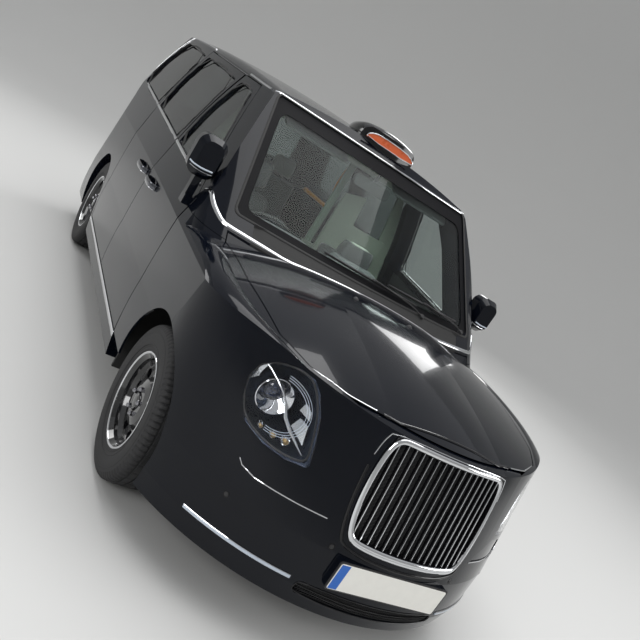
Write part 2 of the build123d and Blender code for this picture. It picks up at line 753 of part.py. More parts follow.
with BuildPart() as wing_left:
    add(shell(OUTER, SKIN_IN, wing_region, [bonnet_hole, lamp_cut, bumper_side, nose_middle, front_arch]))
    add(box_block((0, 1000), (-1300, -850), (COWL_Z - 2, 1300)), mode=Mode.SUBTRACT)
save(wing_left.part, "wing_left")
save(mirrored(wing_left.part), "wing_right")

# Bumper and grille
GRILLE = [(-266, 528), (266, 528), (296, 640), (302, 760), (296, 860), (276, 940), (-276, 940), (-296, 860),
          (-302, 760), (-296, 640)]
GRILLE_ROUND = 26.0
grille_cut = face_block(GRILLE, -1900, -2600, GRILLE_ROUND)
INTAKE = [(-318, 256), (318, 256), (340, 286), (318, 318), (-318, 318), (-340, 286)]
VENT = [(346, 568), (645, 546), (689, 613), (488, 657)]
POCKET = 5.0
PLATE_SEAT_X = 264.0
PLATE_SEAT_Z = (350.0, 470.0)
PLATE_SEAT_REAR = -2384.0
intake = face_block(INTAKE, -1900, -2600, 12)
with BuildPart() as vent:
    add(face_block(VENT, -1900, -2600, 14))
    add(nose_prism(POCKET), mode=Mode.SUBTRACT)
plate_seat = [
    (-PLATE_SEAT_X, PLATE_SEAT_Z[0]),
    (PLATE_SEAT_X, PLATE_SEAT_Z[0]),
    (PLATE_SEAT_X, PLATE_SEAT_Z[1]),
    (-PLATE_SEAT_X, PLATE_SEAT_Z[1]),
]
with BuildPart() as bumper_zone:
    add(bumper_side)
    add(nose_middle)
with BuildPart() as front_bumper:
    add(shell(OUTER, SKIN_IN, bumper_zone.part, [lamp_cut, mirrored(lamp_cut), grille_cut, intake]))
    for tool in (vent.part, front_arch):
        add(tool, mode=Mode.SUBTRACT)
        add(mirrored(tool), mode=Mode.SUBTRACT)
    add(face_block(plate_seat, PLATE_SEAT_REAR, -HALF_LENGTH, 8))
save(front_bumper.part, "front_bumper")


# Grille: a frame on the nose's curve with upright bars that lean back with it
GRILLE_PROUD = 9.0
GRILLE_DEPTH = 16.0
GRILLE_FRAME = 15.0
GRILLE_MID_Z = 734.0
BAR_COUNT = 16
BAR_W = 9.0
BAR_DEEP = 12.0
BAR_PITCH = 34.0
BAR_HIGH = 408.0
NOSE_LEAN = degrees(asin(140 / hypot(140, 780)))


def nose_front(x, z):
    """How far forward the nose's skin stands at a place in the front view."""
    return -HALF_LENGTH + 140 * (z - 470) / 780 + NOSE_R - sqrt(NOSE_R**2 - x**2)


inner_grille = [
    (x * (1 - GRILLE_FRAME / 300), GRILLE_MID_Z + (z - GRILLE_MID_Z) * (1 - GRILLE_FRAME / 206)) for x, z in GRILLE
]
with BuildPart() as grille:
    add(nose_prism(-GRILLE_PROUD))
    add(grille_cut, mode=Mode.INTERSECT)
    add(nose_prism(GRILLE_DEPTH), mode=Mode.SUBTRACT)
    add(face_block(inner_grille, -1900, -2600, 22), mode=Mode.SUBTRACT)
    for bar in range(BAR_COUNT):
        bar_x = BAR_PITCH * (bar - (BAR_COUNT - 1) / 2)
        front = nose_front(bar_x, GRILLE_MID_Z)
        with Locations(Location((bar_x, front + BAR_DEEP / 2, GRILLE_MID_Z), (-NOSE_LEAN, 0, 0))):
            Box(BAR_W, BAR_DEEP, BAR_HIGH)
save(grille.part, "grille")

# Headlamps: a clear lens in the wing, and behind it a bowl with its round projector
BOWL_REAR_Y = -1960.0
BOWL_FLOOR_Y = -1972.0
BOWL_WALL = 6.0
PROJECTOR = (642.0, 806.0)
PROJECTOR_R = 66.0
PROJECTOR_WALL = 8.0
PROJECTOR_FRONT_Y = -2034.0
DOME_R = 46.0
DOME_Y = -1995.0
DOME_STEM_R = 42.0
headlamp = shell(OUTER, SKIN_IN, face_block(LAMP, -1700, -2600, LAMP_ROUND, -SEAT_GAP))
save(Compound(children=[headlamp, mirrored(headlamp)]), "headlamps")
bowl_grow = -2 * SEAT_GAP
with BuildPart() as lamp_bowl:
    add(face_block(LAMP, BOWL_REAR_Y, -2600, LAMP_ROUND, bowl_grow))
    add(SKIN_IN, mode=Mode.INTERSECT)
    add(face_block(LAMP, BOWL_FLOOR_Y, -2600, LAMP_ROUND - BOWL_WALL, bowl_grow - BOWL_WALL), mode=Mode.SUBTRACT)
    add(length_rod(*PROJECTOR, BOWL_REAR_Y, PROJECTOR_FRONT_Y, PROJECTOR_R))
    add(length_rod(*PROJECTOR, BOWL_FLOOR_Y, -2600, PROJECTOR_R - PROJECTOR_WALL), mode=Mode.SUBTRACT)
    add(length_rod(*PROJECTOR, BOWL_REAR_Y, DOME_Y, DOME_STEM_R))
    with Locations((PROJECTOR[0], DOME_Y, PROJECTOR[1])):
        Sphere(DOME_R)
save(Compound(children=[lamp_bowl.part, mirrored(lamp_bowl.part)]), "lamp_bowls")
tail_lamp = shell(OUTER, ROOF_IN, face_block(TAIL_LAMP, 2600, 2130 + SEAT_GAP, 0, -SEAT_GAP))
save(Compound(children=[tail_lamp, mirrored(tail_lamp)]), "tail_lamps")

# Tailgate, hinged at the roof's rear edge
GATE_GLASS = [(-590, 1312), (590, 1312), (545, 1735), (-545, 1735)]
GATE_GLASS_ROUND = 40.0
gate_glass_cut = face_block(GATE_GLASS, 2600, 2000, GATE_GLASS_ROUND)
with BuildPart() as tailgate:
    add(shell(OUTER, ROOF_IN, gate_region, [gate_glass_cut]))
    for side in (-1, 1):
        knuckle = (side * GATE_HINGE_X - 12, side * GATE_HINGE_X + 12)
        add(cross_rod(knuckle, GATE_HINGE_Y, GATE_HINGE_Z, GATE_KNUCKLE_R))
        add(box_block(knuckle, (GATE_HINGE_Y, GATE_FRONT_Y + 10), (GATE_HINGE_Z - 6, GATE_HINGE_Z + 3)))
        add(cross_rod(knuckle, GATE_HINGE_Y, GATE_HINGE_Z, GATE_PIN_R + SEAT_GAP), mode=Mode.SUBTRACT)
save(tailgate.part, "tailgate")
with BuildPart() as gate_glass:
    add(tail_prism(GLASS_IN))
    add(tail_prism(GLASS_IN + GLASS_T), mode=Mode.SUBTRACT)
    seat = face_block(GATE_GLASS, 2600, 2000, GATE_GLASS_ROUND - SEAT_GAP, -SEAT_GAP)
    add(seat, mode=Mode.INTERSECT)
save(gate_glass.part, "tailgate_glass")

# Rear bumper
FLOOR_HALF = FRAME_IN - SEAT_GAP
rear_top = REAR_SPLIT_Z - SHUT_GAP
gate_sill = GATE_LOW - SHUT_GAP
rear_side = [(1996, 215), (2066, 480), (2066, rear_top), (2600, rear_top), (2600, 215)]
rear_middle = [
    (-FLOOR_HALF, rear_top - 14),
    (FLOOR_HALF, rear_top - 14),
    (FLOOR_HALF, gate_sill),
    (-FLOOR_HALF, gate_sill),
]
with BuildPart() as rear_bumper:
    add(shell(OUTER, ROOF_IN, side_block(rear_side, -1000, 1000)))
    add(shell(OUTER, ROOF_IN, face_block(rear_middle, 2600, 2000)))
save(rear_bumper.part, "rear_bumper")

# Floor: flat through the cabin, stepping up over the rear axle, with wheelhouses
REAR_FLOOR_Z = 560.0
STEP_Y = 1080.0
FLOOR_FRONT = -985.0
FLOOR_REAR = 2290.0
HOUSE_T = 8.0
house_ends = (REAR_ARCH_IN - HOUSE_T, BODY_HALF - 90)
with BuildPart() as wheelhouse:
    add(cross_rod(house_ends, REAR_AXLE, TYRE_R, REAR_ARCH_R + HOUSE_T))
    add(box_block((0, 1000), (900, 2000), (FLOOR_Z - FLOOR_T, 900)), mode=Mode.INTERSECT)
    add(SIDE_IN, mode=Mode.INTERSECT)
with BuildPart() as floor_pan:
    add(box_block((-FLOOR_HALF, FLOOR_HALF), (FLOOR_FRONT, STEP_Y), (FLOOR_Z - FLOOR_T, FLOOR_Z)))
    add(box_block((-FLOOR_HALF, FLOOR_HALF), (STEP_Y - FLOOR_T, STEP_Y), (FLOOR_Z - FLOOR_T, REAR_FLOOR_Z)))
    add(box_block((-FLOOR_HALF, FLOOR_HALF), (STEP_Y - FLOOR_T, FLOOR_REAR), (REAR_FLOOR_Z - FLOOR_T, REAR_FLOOR_Z)))
    for side in (-1, 1):
        add(wheelhouse.part if side > 0 else mirrored(wheelhouse.part))
        room = sorted((side * REAR_ARCH_IN, side * 1000))
        add(cross_rod(room, REAR_AXLE, TYRE_R, REAR_ARCH_R), mode=Mode.SUBTRACT)
        wall = sorted((side * (REAR_ARCH_IN - HOUSE_T - 6), side * (REAR_ARCH_IN + 1)))
        add(box_block(wall, (REAR_AXLE - 330, REAR_AXLE + 330), (290, REAR_FLOOR_Z - FLOOR_T)), mode=Mode.SUBTRACT)
    add(box_block((-620, -180), (-340, 40), (FLOOR_Z - 1, 545)))
save(floor_pan.part, "floor_pan")

# Bulkhead and cowl
COWL_TOP = SCREEN_LOW - SEAT_GAP
with BuildPart() as bulkhead:
    add(box_block((-880, 880), (SIDE_FRONT_Y - 18, SIDE_FRONT_Y - SEAT_GAP), (215, COWL_Z)))
    add(shell(OUTER, ROOF_IN, box_block((-FLOOR_HALF, FLOOR_HALF), (-1330, -960), (1000, COWL_TOP)), [bonnet_hole]))
    add(box_block((-FLOOR_HALF, FLOOR_HALF), (SIDE_FRONT_Y - 18, SIDE_FRONT_Y - SEAT_GAP), (COWL_Z - 20, COWL_TOP)))
    add(box_block((-FLOOR_HALF, FLOOR_HALF), (-1130, SIDE_FRONT_Y - SEAT_GAP), (COWL_TOP - 18, COWL_TOP)))
    for side in (-1, 1):
        add(cross_rod((side * BONNET_ARM_X - 24, side * BONNET_ARM_X + 24), BONNET_HINGE_Y, BONNET_HINGE_Z, PIN_R))
        for end in (-1, 1):
            ear_x = side * BONNET_ARM_X + end * (BONNET_ARM_W / 2 + 5)
            add(box_block((ear_x - 4, ear_x + 4), (BONNET_HINGE_Y - 10, -990), (BONNET_HINGE_Z - 12, BONNET_HINGE_Z + 9)))
save(bulkhead.part, "bulkhead")

# Running gear
KINGPIN_X = 745.0
ARM_HALF = 26.0
STUB_R = 18.0
SUB_HALF = 430.0
LOWER_ARM = (205.0, 232.0)
UPPER_ARM = (468.0, 492.0)
with BuildPart() as front_subframe:
    for side in (-1, 1):
        rail = sorted((side * 362, side * SUB_HALF))
        add(box_block(rail, (-2200, SIDE_FRONT_Y - 18), (300, 400)))
        for low, high in (LOWER_ARM, UPPER_ARM):
            arm = sorted((side * 380, side * (KINGPIN_X + ARM_HALF)))
            add(box_block(arm, (FRONT_AXLE - ARM_HALF, FRONT_AXLE + ARM_HALF), (low, high)))
        tower = sorted((side * 362, side * SUB_HALF))
        add(box_block(tower, (FRONT_AXLE - 60, FRONT_AXLE + 60), (205, 500)))
        with Locations((side * KINGPIN_X, FRONT_AXLE, (LOWER_ARM[1] + UPPER_ARM[0]) / 2)):
            Cylinder(9, UPPER_ARM[0] - LOWER_ARM[1] + 10)
    add(box_block((-SUB_HALF, SUB_HALF), (-1600, -1520), (250, 300)))
    add(box_block((-SUB_HALF, SUB_HALF), (-2230, -2200), (250, 880)))
save(front_subframe.part, "front_subframe")

with BuildPart() as knuckle_left:
    upright = (LOWER_ARM[1] + SEAT_GAP, UPPER_ARM[0] - SEAT_GAP)
    with Locations((KINGPIN_X, FRONT_AXLE, sum(upright) / 2)):
        Cylinder(24, upright[1] - upright[0])
    add(cross_rod((KINGPIN_X + 9, TRACK_HALF + 70), FRONT_AXLE, TYRE_R, STUB_R))
    add(cross_rod((KINGPIN_X + 9, KINGPIN_X + 26), FRONT_AXLE, TYRE_R, 58))
    with Locations((KINGPIN_X, FRONT_AXLE, sum(upright) / 2)):
        Cylinder(9 + SEAT_GAP, upright[1] - upright[0], mode=Mode.SUBTRACT)
save(knuckle_left.part, "knuckle_left")
save(mirrored(knuckle_left.part), "knuckle_right")

with BuildPart() as rear_axle:
    add(cross_rod((-TRACK_HALF - 70, TRACK_HALF + 70), REAR_AXLE, TYRE_R, STUB_R))
    add(cross_rod((-700, 700), REAR_AXLE, TYRE_R, 34))
    add(cross_rod((-190, 190), REAR_AXLE, TYRE_R, 150))
    for side in (-1, 1):
        arm = sorted((side * 520, side * 570))
        add(box_block(arm, (STEP_Y + 2, REAR_AXLE), (318, 366)))
        add(box_block(sorted((side * 440, side * 570)), (STEP_Y + SEAT_GAP, STEP_Y + 60), (318, 400)))
        with Locations((side * 480, REAR_AXLE + 40, 455)):
            Cylinder(45, REAR_FLOOR_Z - FLOOR_T - 0.3 - 368)
        add(box_block(sorted((side * 430, side * 570)), (REAR_AXLE - 20, REAR_AXLE + 90), (355, 372)))
save(rear_axle.part, "rear_axle")

# Wheels
RIM_HALF = 84.0
SEAT_R = 203.0
FLANGE = 12.0
WHEEL_HOLES = 10
WHEEL_HOLE_R = 23.0
WHEEL_HOLE_AT = 146.0


def tyre(centre_x, axle_y):
    """A road tyre turned about its own axle, its beads against the rim's flanges."""
    # Columns: half-width, radius
    half = [
        (RIM_HALF, SEAT_R + SEAT_GAP),
        (RIM_HALF + FLANGE + 1, SEAT_R + FLANGE + SEAT_GAP + 1),
        (TYRE_W / 2, 276),
        (TYRE_W / 2 - 21, TYRE_R),
    ]
    with BuildPart() as ring:
        with BuildSketch(Plane.XY):
            with BuildLine():
                Polyline(*half, *[(-x, r) for x, r in reversed(half)], close=True)
            make_face()
        revolve(axis=Axis.X)
    return ring.part.moved(Location((centre_x, axle_y, TYRE_R)))


def rim(centre_x, axle_y, outward):
    """A disc wheel: barrel, dished disc with round holes, and a raised hub round its bore."""
    w = RIM_HALF
    bore = STUB_R + SEAT_GAP
    with BuildPart() as wheel:
        with BuildSketch(Plane.XY):
            with BuildLine():
                Polyline(
                    (-w, SEAT_R), (w, SEAT_R), (w + FLANGE, SEAT_R + FLANGE), (w + FLANGE, SEAT_R + 2),
                    (w - 6, SEAT_R - 14), (62, 186), (44, 176), (40, 118), (62, 100), (72, 72), (72, 44),
                    (58, 40), (58, bore), (6, bore), (6, 62), (30, 84), (26, 122), (28, 182), (-w + 6, 190),
                    close=True,
                )
            make_face()
        revolve(axis=Axis.X)
        with BuildSketch(Plane.YZ.offset(20)):
            with PolarLocations(WHEEL_HOLE_AT, WHEEL_HOLES):
                Circle(WHEEL_HOLE_R)
        extrude(amount=40, mode=Mode.SUBTRACT)
    turned = wheel.part if outward > 0 else mirrored(wheel.part)
    return turned.moved(Location((centre_x, axle_y, TYRE_R)))


for end, axle_y in (("front", FRONT_AXLE), ("rear", REAR_AXLE)):
    for side, name in ((1, "left"), (-1, "right")):
        save(tyre(side * TRACK_HALF, axle_y), f"tyre_{end}_{name}")
        save(rim(side * TRACK_HALF, axle_y, side), f"rim_{end}_{name}")

# Heavy blocks
with BuildPart() as engine_block:
    add(box_block((-300, 300), (-1960, -1430), (300.3, 850)))
save(engine_block.part, "engine_block")
with BuildPart() as battery_pack:
    add(box_block((-520, 520), (-720, 420), (196, FLOOR_Z - FLOOR_T - SEAT_GAP)))
save(battery_pack.part, "battery_pack")

# Interior
WHEEL_TILT = 28.0
WHEEL_X = -400.0
WHEEL_Y = -560.0
WHEEL_Z = 1010.0
COLUMN = Plane(
    origin=(WHEEL_X, WHEEL_Y, WHEEL_Z),
    x_dir=(1, 0, 0),
    z_dir=(0, cos(radians(WHEEL_TILT)), sin(radians(WHEEL_TILT))),
)
SHAFT_R = 14.0
SHAFT_LONG = 150.0
WHEEL_R = 185.0
WHEEL_GRIP = 15.0
with BuildPart(COLUMN) as shroud:
    with Locations((0, 0, -175)):
        Cylinder(46, 150)
with BuildPart(COLUMN) as column_bore:
    with Locations((0, 0, -SHAFT_LONG / 2)):
        Cylinder(SHAFT_R + SEAT_GAP, SHAFT_LONG + 1)
with BuildPart() as dashboard:
    with BuildSketch(Plane.YZ.offset(-735)):
        with BuildLine():
            front = SIDE_FRONT_Y
            Polyline((front, 1040), (front, 800), (-800, 760), (-705, 830), (-690, 980), (-760, 1072), (-930, 1096),
                     close=True)
        make_face()
    extrude(amount=1470)
    add(shroud.part)
    add(column_bore.part, mode=Mode.SUBTRACT)
save(dashboard.part, "dashboard")
with BuildPart() as wheel_rim:
    with BuildSketch(Plane.XZ):
        with Locations((WHEEL_R, 0)):
            RegularPolygon(WHEEL_GRIP, 8)
    revolve(axis=Axis.Z)
with BuildPart(COLUMN) as steering_wheel:
    add(wheel_rim.part)
    with Locations((0, 0, -22)):
        Cylinder(62, 44)
    with Locations((0, 0, -14)):
        Box(360, 44, 16)
    with Locations((0, -95, -14)):
        Box(44, 170, 16)
    with Locations((0, 0, -SHAFT_LONG / 2)):
        Cylinder(SHAFT_R, SHAFT_LONG)
save(steering_wheel.part, "steering_wheel")


def side_pad(outline, x_range, rounding):
    """A padded back: a side-view outline, (y, z) points, with rounded corners, from one x to another."""
    with BuildPart() as pad:
        with BuildSketch(Plane.YZ.offset(x_range[0])):
            with BuildLine():
                Polyline(*outline, close=True)
            make_face()
            fillet(vertices(), rounding)
        extrude(amount=x_range[1] - x_range[0])
    return pad.part


def cushion(x_range, y_range, z_range, rounding):
    """A plain padded block with rounded edges."""
    with BuildPart() as pad:
        add(box_block(x_range, y_range, z_range))
        fillet(pad.edges(), rounding)
    return pad.part


SEAT_X = (-650.0, -150.0)
with BuildPart() as driver_seat:
    add(cushion(SEAT_X, (-400, 20), (545.3, 690), 30))
    add(side_pad([(-70, 660), (20, 640), (88, 1200), (20, 1210)], (SEAT_X[0] + 5, SEAT_X[1] - 5), 25))
    add(cushion((-530, -270), (6, 84), (1190, 1400), 28))
save(driver_seat.part, "driver_seat")

PARTITION_Y = 96.0
PARTITION_T = 16.0
PARTITION_GLASS = [(-690, 1060), (690, 1060), (590, 1640), (-590, 1640)]
PARTITION_ROUND = 40.0
with BuildPart() as partition:
    add(box_block((-900, 900), (PARTITION_Y, PARTITION_Y + PARTITION_T), (FLOOR_Z + SEAT_GAP, 1780)))
    add(SIDE_IN, mode=Mode.INTERSECT)
    add(face_block(PARTITION_GLASS, 200, 0, PARTITION_ROUND), mode=Mode.SUBTRACT)
save(partition.part, "partition")
glass_y = (PARTITION_Y + 12, PARTITION_Y + 4)
partition_glass = face_block(PARTITION_GLASS, *glass_y, PARTITION_ROUND - SEAT_GAP, -SEAT_GAP)
save(partition_glass, "partition_glass")

tip_seats = []
for middle in (-430.0, 0.0, 430.0):
    tip_seats.append(cushion((middle - 200, middle + 200), (PARTITION_Y + PARTITION_T + SEAT_GAP, 205), (520, 940), 24))
save(Compound(children=tip_seats), "tip_up_seats")

BENCH_X = (-570.0, 570.0)
with BuildPart() as rear_bench:
    add(cushion(BENCH_X, (1085, 1600), (REAR_FLOOR_Z + SEAT_GAP, 705), 34))
    add(side_pad([(1530, 600), (1620, 585), (1716, 1230), (1640, 1240)], BENCH_X, 26))
    for middle in (-380.0, 0.0, 380.0):
        add(cushion((middle - 120, middle + 120), (1640, 1712), (1220, 1400), 26))
save(rear_bench.part, "rear_bench")

# Roof sign: a low hump faired back into the roof, with a seat for its lens in front
# Columns: y, half-width at the roof, top height
SIGN_ROWS = [
    (-590.0, 176.0, 1852.0),
    (-540.0, 186.0, 1880.0),
    (-480.0, 190.0, SIGN_TOP),
    (-330.0, 168.0, 1876.0),
    (-140.0, 96.0, 1846.0),
]
SIGN_BASE = 1730.0
SIGN_LENS = [(-170, 1801), (170, 1801), (160, 1826), (96, 1846), (-96, 1846), (-160, 1826)]
SIGN_POCKET = 6.0
with BuildPart() as sign_hump:
    for y, half, top in SIGN_ROWS:
        high = top - 1790
        with BuildSketch(Plane.XZ.offset(-y)):
            with BuildLine():
                foot, knee = (half, SIGN_BASE), (half, 1790)
                turn, brow = (0.93 * half, 1790 + 0.62 * high), (0.74 * half, 1790 + 0.86 * high)
                Polyline((-knee[0], knee[1]), (-foot[0], foot[1]), foot, knee)
                ThreePointArc(knee, turn, brow)
                ThreePointArc(brow, (0, top), (-brow[0], brow[1]))
                ThreePointArc((-brow[0], brow[1]), (-turn[0], turn[1]), (-knee[0], knee[1]))
            make_face()
    loft()
with BuildPart() as sign_plan:
    with BuildSketch(Plane.XY.offset(SIGN_BASE)):
        with BuildLine():
            ThreePointArc((-200, -530), (0, -572), (200, -530))
            Polyline((200, -530), (200, -100), (-200, -100), (-200, -530))
        make_face()
    extrude(amount=200)
    add(sign_hump.part, mode=Mode.INTERSECT)
sign_form = sign_plan.part
with BuildPart() as lens_seat:
    add(face_block(SIGN_LENS, -400, -600, 9))
    add(sign_form.moved(Location((0, SIGN_POCKET, 0))), mode=Mode.SUBTRACT)
with BuildPart() as roof_sign:
    add(sign_form)
    add(lens_seat.part, mode=Mode.SUBTRACT)
    add(OUTER, mode=Mode.SUBTRACT)
save(roof_sign.part, "roof_sign")
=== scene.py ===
# %% [markdown]
# # A black town taxi
# The object is a tall, square-cabined taxi with a long domed bonnet, a wide chrome grille and gloss black
# paint. The solid model is already built as panels, doors, glass, wheels and seats. This lesson dresses it:
# it gives every surface its finish and adds the bright strips, lamp insides, tread, trim and padding.

# %% Load the solid model
from math import cos, pi, radians, sin, sqrt

import bmesh
import bpy
from mathutils import Matrix, Vector
from mathutils.bvhtree import BVHTree


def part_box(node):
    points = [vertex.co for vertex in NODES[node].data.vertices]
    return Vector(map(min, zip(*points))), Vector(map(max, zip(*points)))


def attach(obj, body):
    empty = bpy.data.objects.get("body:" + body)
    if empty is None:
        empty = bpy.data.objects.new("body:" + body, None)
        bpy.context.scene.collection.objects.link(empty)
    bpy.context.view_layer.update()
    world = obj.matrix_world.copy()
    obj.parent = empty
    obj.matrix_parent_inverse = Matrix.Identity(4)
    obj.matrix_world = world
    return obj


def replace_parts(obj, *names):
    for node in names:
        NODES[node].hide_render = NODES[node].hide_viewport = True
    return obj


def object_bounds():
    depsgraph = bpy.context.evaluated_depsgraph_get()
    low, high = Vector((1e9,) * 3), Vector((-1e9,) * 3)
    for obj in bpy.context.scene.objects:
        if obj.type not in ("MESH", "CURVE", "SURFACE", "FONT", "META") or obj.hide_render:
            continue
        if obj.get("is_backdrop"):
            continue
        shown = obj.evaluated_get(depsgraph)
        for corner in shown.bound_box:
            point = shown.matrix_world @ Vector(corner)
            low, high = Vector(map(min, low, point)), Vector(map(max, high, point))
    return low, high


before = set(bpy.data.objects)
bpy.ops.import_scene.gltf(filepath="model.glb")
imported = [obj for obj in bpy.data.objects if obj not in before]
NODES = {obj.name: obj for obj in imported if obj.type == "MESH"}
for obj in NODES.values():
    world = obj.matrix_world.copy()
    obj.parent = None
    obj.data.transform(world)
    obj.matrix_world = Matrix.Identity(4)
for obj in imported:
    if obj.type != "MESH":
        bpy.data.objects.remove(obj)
cad_low, cad_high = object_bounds()
print("nodes", len(NODES), "length", round(cad_high[1] - cad_low[1], 3))

# %% [markdown]
# ## The camera
# The photographer stood off the car's front right corner, held the camera at head height and rolled it by
# about 33 degrees. The lens and the place were worked out from the wheels, the plate and the mirrors, whose
# real sizes are known. A camera made from an azimuth, a height angle and a roll keeps those three ideas
# readable.

# %% Camera
CAMERA_PLACE = (-1.8655, -4.1563, 1.6225)
CAMERA_AZIMUTH = radians(-30.06)
CAMERA_DOWN = radians(11.59)
CAMERA_ROLL = radians(32.72)
LENS_MM = 40.09

camera_data = bpy.data.cameras.new("photo_camera")
camera_data.lens = LENS_MM
camera_data.sensor_width = 36.0
camera_data.clip_end = 60.0
camera = bpy.data.objects.new("photo_camera", camera_data)
turn = Matrix.Rotation(CAMERA_AZIMUTH, 4, "Z") @ Matrix.Rotation(pi / 2 - CAMERA_DOWN, 4, "X")
camera.matrix_world = Matrix.Translation(CAMERA_PLACE) @ turn @ Matrix.Rotation(CAMERA_ROLL, 4, "Z")
bpy.context.scene.collection.objects.link(camera)
bpy.context.scene.camera = camera
print("lens", LENS_MM, "mm")

# %% [markdown]
# ## Small tools for meshes
# Most pieces here are strips, rings, plates and turned shapes. A few helpers make each of those from the
# sizes that a maker would give, so that the cells for the pieces stay short. Every new mesh is shaded
# smooth with its sharp edges kept, gets its finish, and rides on the body that carries it.

# %% New pieces and their shading
SHARP_EDGE = radians(35)
WELD = 1e-6
ROUNDED_FROM = radians(40)


def add_piece(name, vertices, faces, finish, body="body", slot="black_trim", sharp=SHARP_EDGE):
    """A mesh object with its finish, riding on a body of the car."""
    mesh = bpy.data.meshes.new(name)
    mesh.from_pydata([tuple(v) for v in vertices], [], faces)
    mesh.validate()
    return dress(bpy.data.objects.new(name, mesh), finish, body, sharp)


def dress(piece, finish, body, sharp=SHARP_EDGE):
    """Links a new object, smooths it and gives it its finish and its body."""
    bpy.context.scene.collection.objects.link(piece)
    piece.data.materials.clear()
    piece.data.materials.append(finish)
    shade(piece, sharp)
    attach(piece, body)
    return piece


def shade(piece, sharp):
    """Welds doubled points, turns faces outwards and shades smooth, keeping edges sharper than an angle."""
    mesh = piece.data
    work = bmesh.new()
    work.from_mesh(mesh)
    bmesh.ops.remove_doubles(work, verts=work.verts, dist=WELD)
    bmesh.ops.dissolve_degenerate(work, edges=work.edges, dist=WELD)
    bmesh.ops.recalc_face_normals(work, faces=work.faces)
    for edge in work.edges:
        edge.smooth = len(edge.link_faces) != 2 or edge.calc_face_angle(0.0) < sharp
    for face in work.faces:
        face.smooth = True
    work.to_mesh(mesh)
    work.free()


def soften(piece, width):
    """Rounds a piece's sharp edges by a width."""
    bevel = piece.modifiers.new("edge_round", "BEVEL")
    bevel.width = width
    bevel.segments = 2
    bevel.limit_method = "ANGLE"
    bevel.angle_limit = ROUNDED_FROM
    bevel.harden_normals = True
    return piece


print("edges are sharp from", round(SHARP_EDGE, 3), "radians")

# %% [markdown]
# ## Turned rings and swept beads
# Two ways of making a shape cover most of the trim. A wheel part is a section turned about the axle, and a
# bright strip is a small half-round section drawn along a line. Rows of points joined by quads keep every
# size in a maker's own terms, and one grid of faces serves both.

# %% Grids, rings and beads
# Places across and up, as shares of a bead's width and height
BEAD_SECTION = [(-0.5, -0.3), (-0.5, 0.35), (-0.34, 0.78), (0.0, 1.0), (0.34, 0.78), (0.5, 0.35),
                (0.5, -0.3)]


def grid_faces(rows, columns, close_rows=False, close_columns=False):
    """Quads between the points of a grid, counted row by row."""
    faces = []
    for row in range(rows if close_rows else rows - 1):
        for column in range(columns if close_columns else columns - 1):
            here = row * columns
            above = (row + 1) % rows * columns
            near = (column + 1) % columns
            faces.append((here + column, here + near, above + near, above + column))
    return faces


def turned(profile, steps, centre=(0, 0, 0), outward=1):
    """A ring turned about X through a centre, from (reach along the axle, radius) points."""
    vertices = []
    for step in range(steps):
        angle = 2 * pi * step / steps
        for reach, radius in profile:
            vertices.append((
                centre[0] + outward * reach,
                centre[1] + radius * sin(angle),
                centre[2] + radius * cos(angle),
            ))
    return vertices, grid_faces(steps, len(profile), close_rows=True)


def swept(points, lifts, width, height, closed=False):
    """A half-round bead along points, standing along each point's own lift direction."""
    vertices = []
    count = len(points)
    for place in range(count):
        before = points[(place - 1) % count] if closed or place else points[place]
        after = points[(place + 1) % count] if closed or place < count - 1 else points[place]
        along = (after - before).normalized()
        lift = lifts[place]
        across = along.cross(lift).normalized()
        up = across.cross(along).normalized()
        for side, rise in BEAD_SECTION:
            vertices.append(points[place] + across * side * width + up * rise * height)
    sides = len(BEAD_SECTION)
    faces = grid_faces(count, sides, close_rows=closed, close_columns=True)
    if not closed:
        faces.append(tuple(range(sides))[::-1])
        faces.append(tuple(range((count - 1) * sides, count * sides)))
    return vertices, faces


print("a bead's section has", len(BEAD_SECTION), "points")

# %% [markdown]
# ## Trim that lies on a panel
# A strip drawn in the air never quite meets a curved door. Each line starts as a few given corners, is
# rounded, and is then dropped on to the panel that carries it. The panel's own normals, averaged along
# the line, say which way the strip stands up.

# %% Lines on a surface
RAY_BACK = 0.6
RAY_LENGTH = 1.4


def skin_of(*names):
    """The surface of some solid pieces, to set trim down on."""
    vertices, faces = [], []
    for name in names:
        mesh = NODES[name].data
        start = len(vertices)
        vertices.extend(v.co.copy() for v in mesh.vertices)
        faces.extend([start + index for index in polygon.vertices] for polygon in mesh.polygons)
    return BVHTree.FromPolygons(vertices, faces)


def smooth_line(corners, step=0.02, rounds=2, closed=False):
    """A line through given corners, rounded by cutting its corners and split into short steps."""
    line = [Vector(corner) for corner in corners]
    for _ in range(rounds):
        cut = [] if closed else [line[0]]
        pairs = zip(line, line[1:] + line[:1]) if closed else zip(line, line[1:])
        for a, b in pairs:
            cut.extend((a.lerp(b, 0.25), a.lerp(b, 0.75)))
        if not closed:
            cut.append(line[-1])
        line = cut
    fine = []
    pairs = list(zip(line, line[1:] + line[:1])) if closed else list(zip(line, line[1:]))
    for a, b in pairs:
        parts = max(1, int((b - a).length / step))
        fine.extend(a.lerp(b, part / parts) for part in range(parts))
    if not closed:
        fine.append(line[-1])
    return fine


def settle(line, skin, lift=0.0, toward=None):
    """Moves points to the skin, by the nearest way or along one direction, and gives places and normals."""
    places, normals = [], []
    for point in line:
        if toward is None:
            hit, normal, _, _ = skin.find_nearest(point)
        else:
            hit, normal, _, _ = skin.ray_cast(point - toward * RAY_BACK, toward, RAY_LENGTH)
            if hit is None:
                hit, normal, _, _ = skin.find_nearest(point)
        places.append(hit)
        normals.append(normal)
    calm = []
    for place in range(len(normals)):
        near = normals[max(0, place - 2): place + 3]
        calm.append(sum(near, Vector()).normalized())
    return [place + normal * lift for place, normal in zip(places, calm)], calm


print("rays reach", RAY_LENGTH, "m")

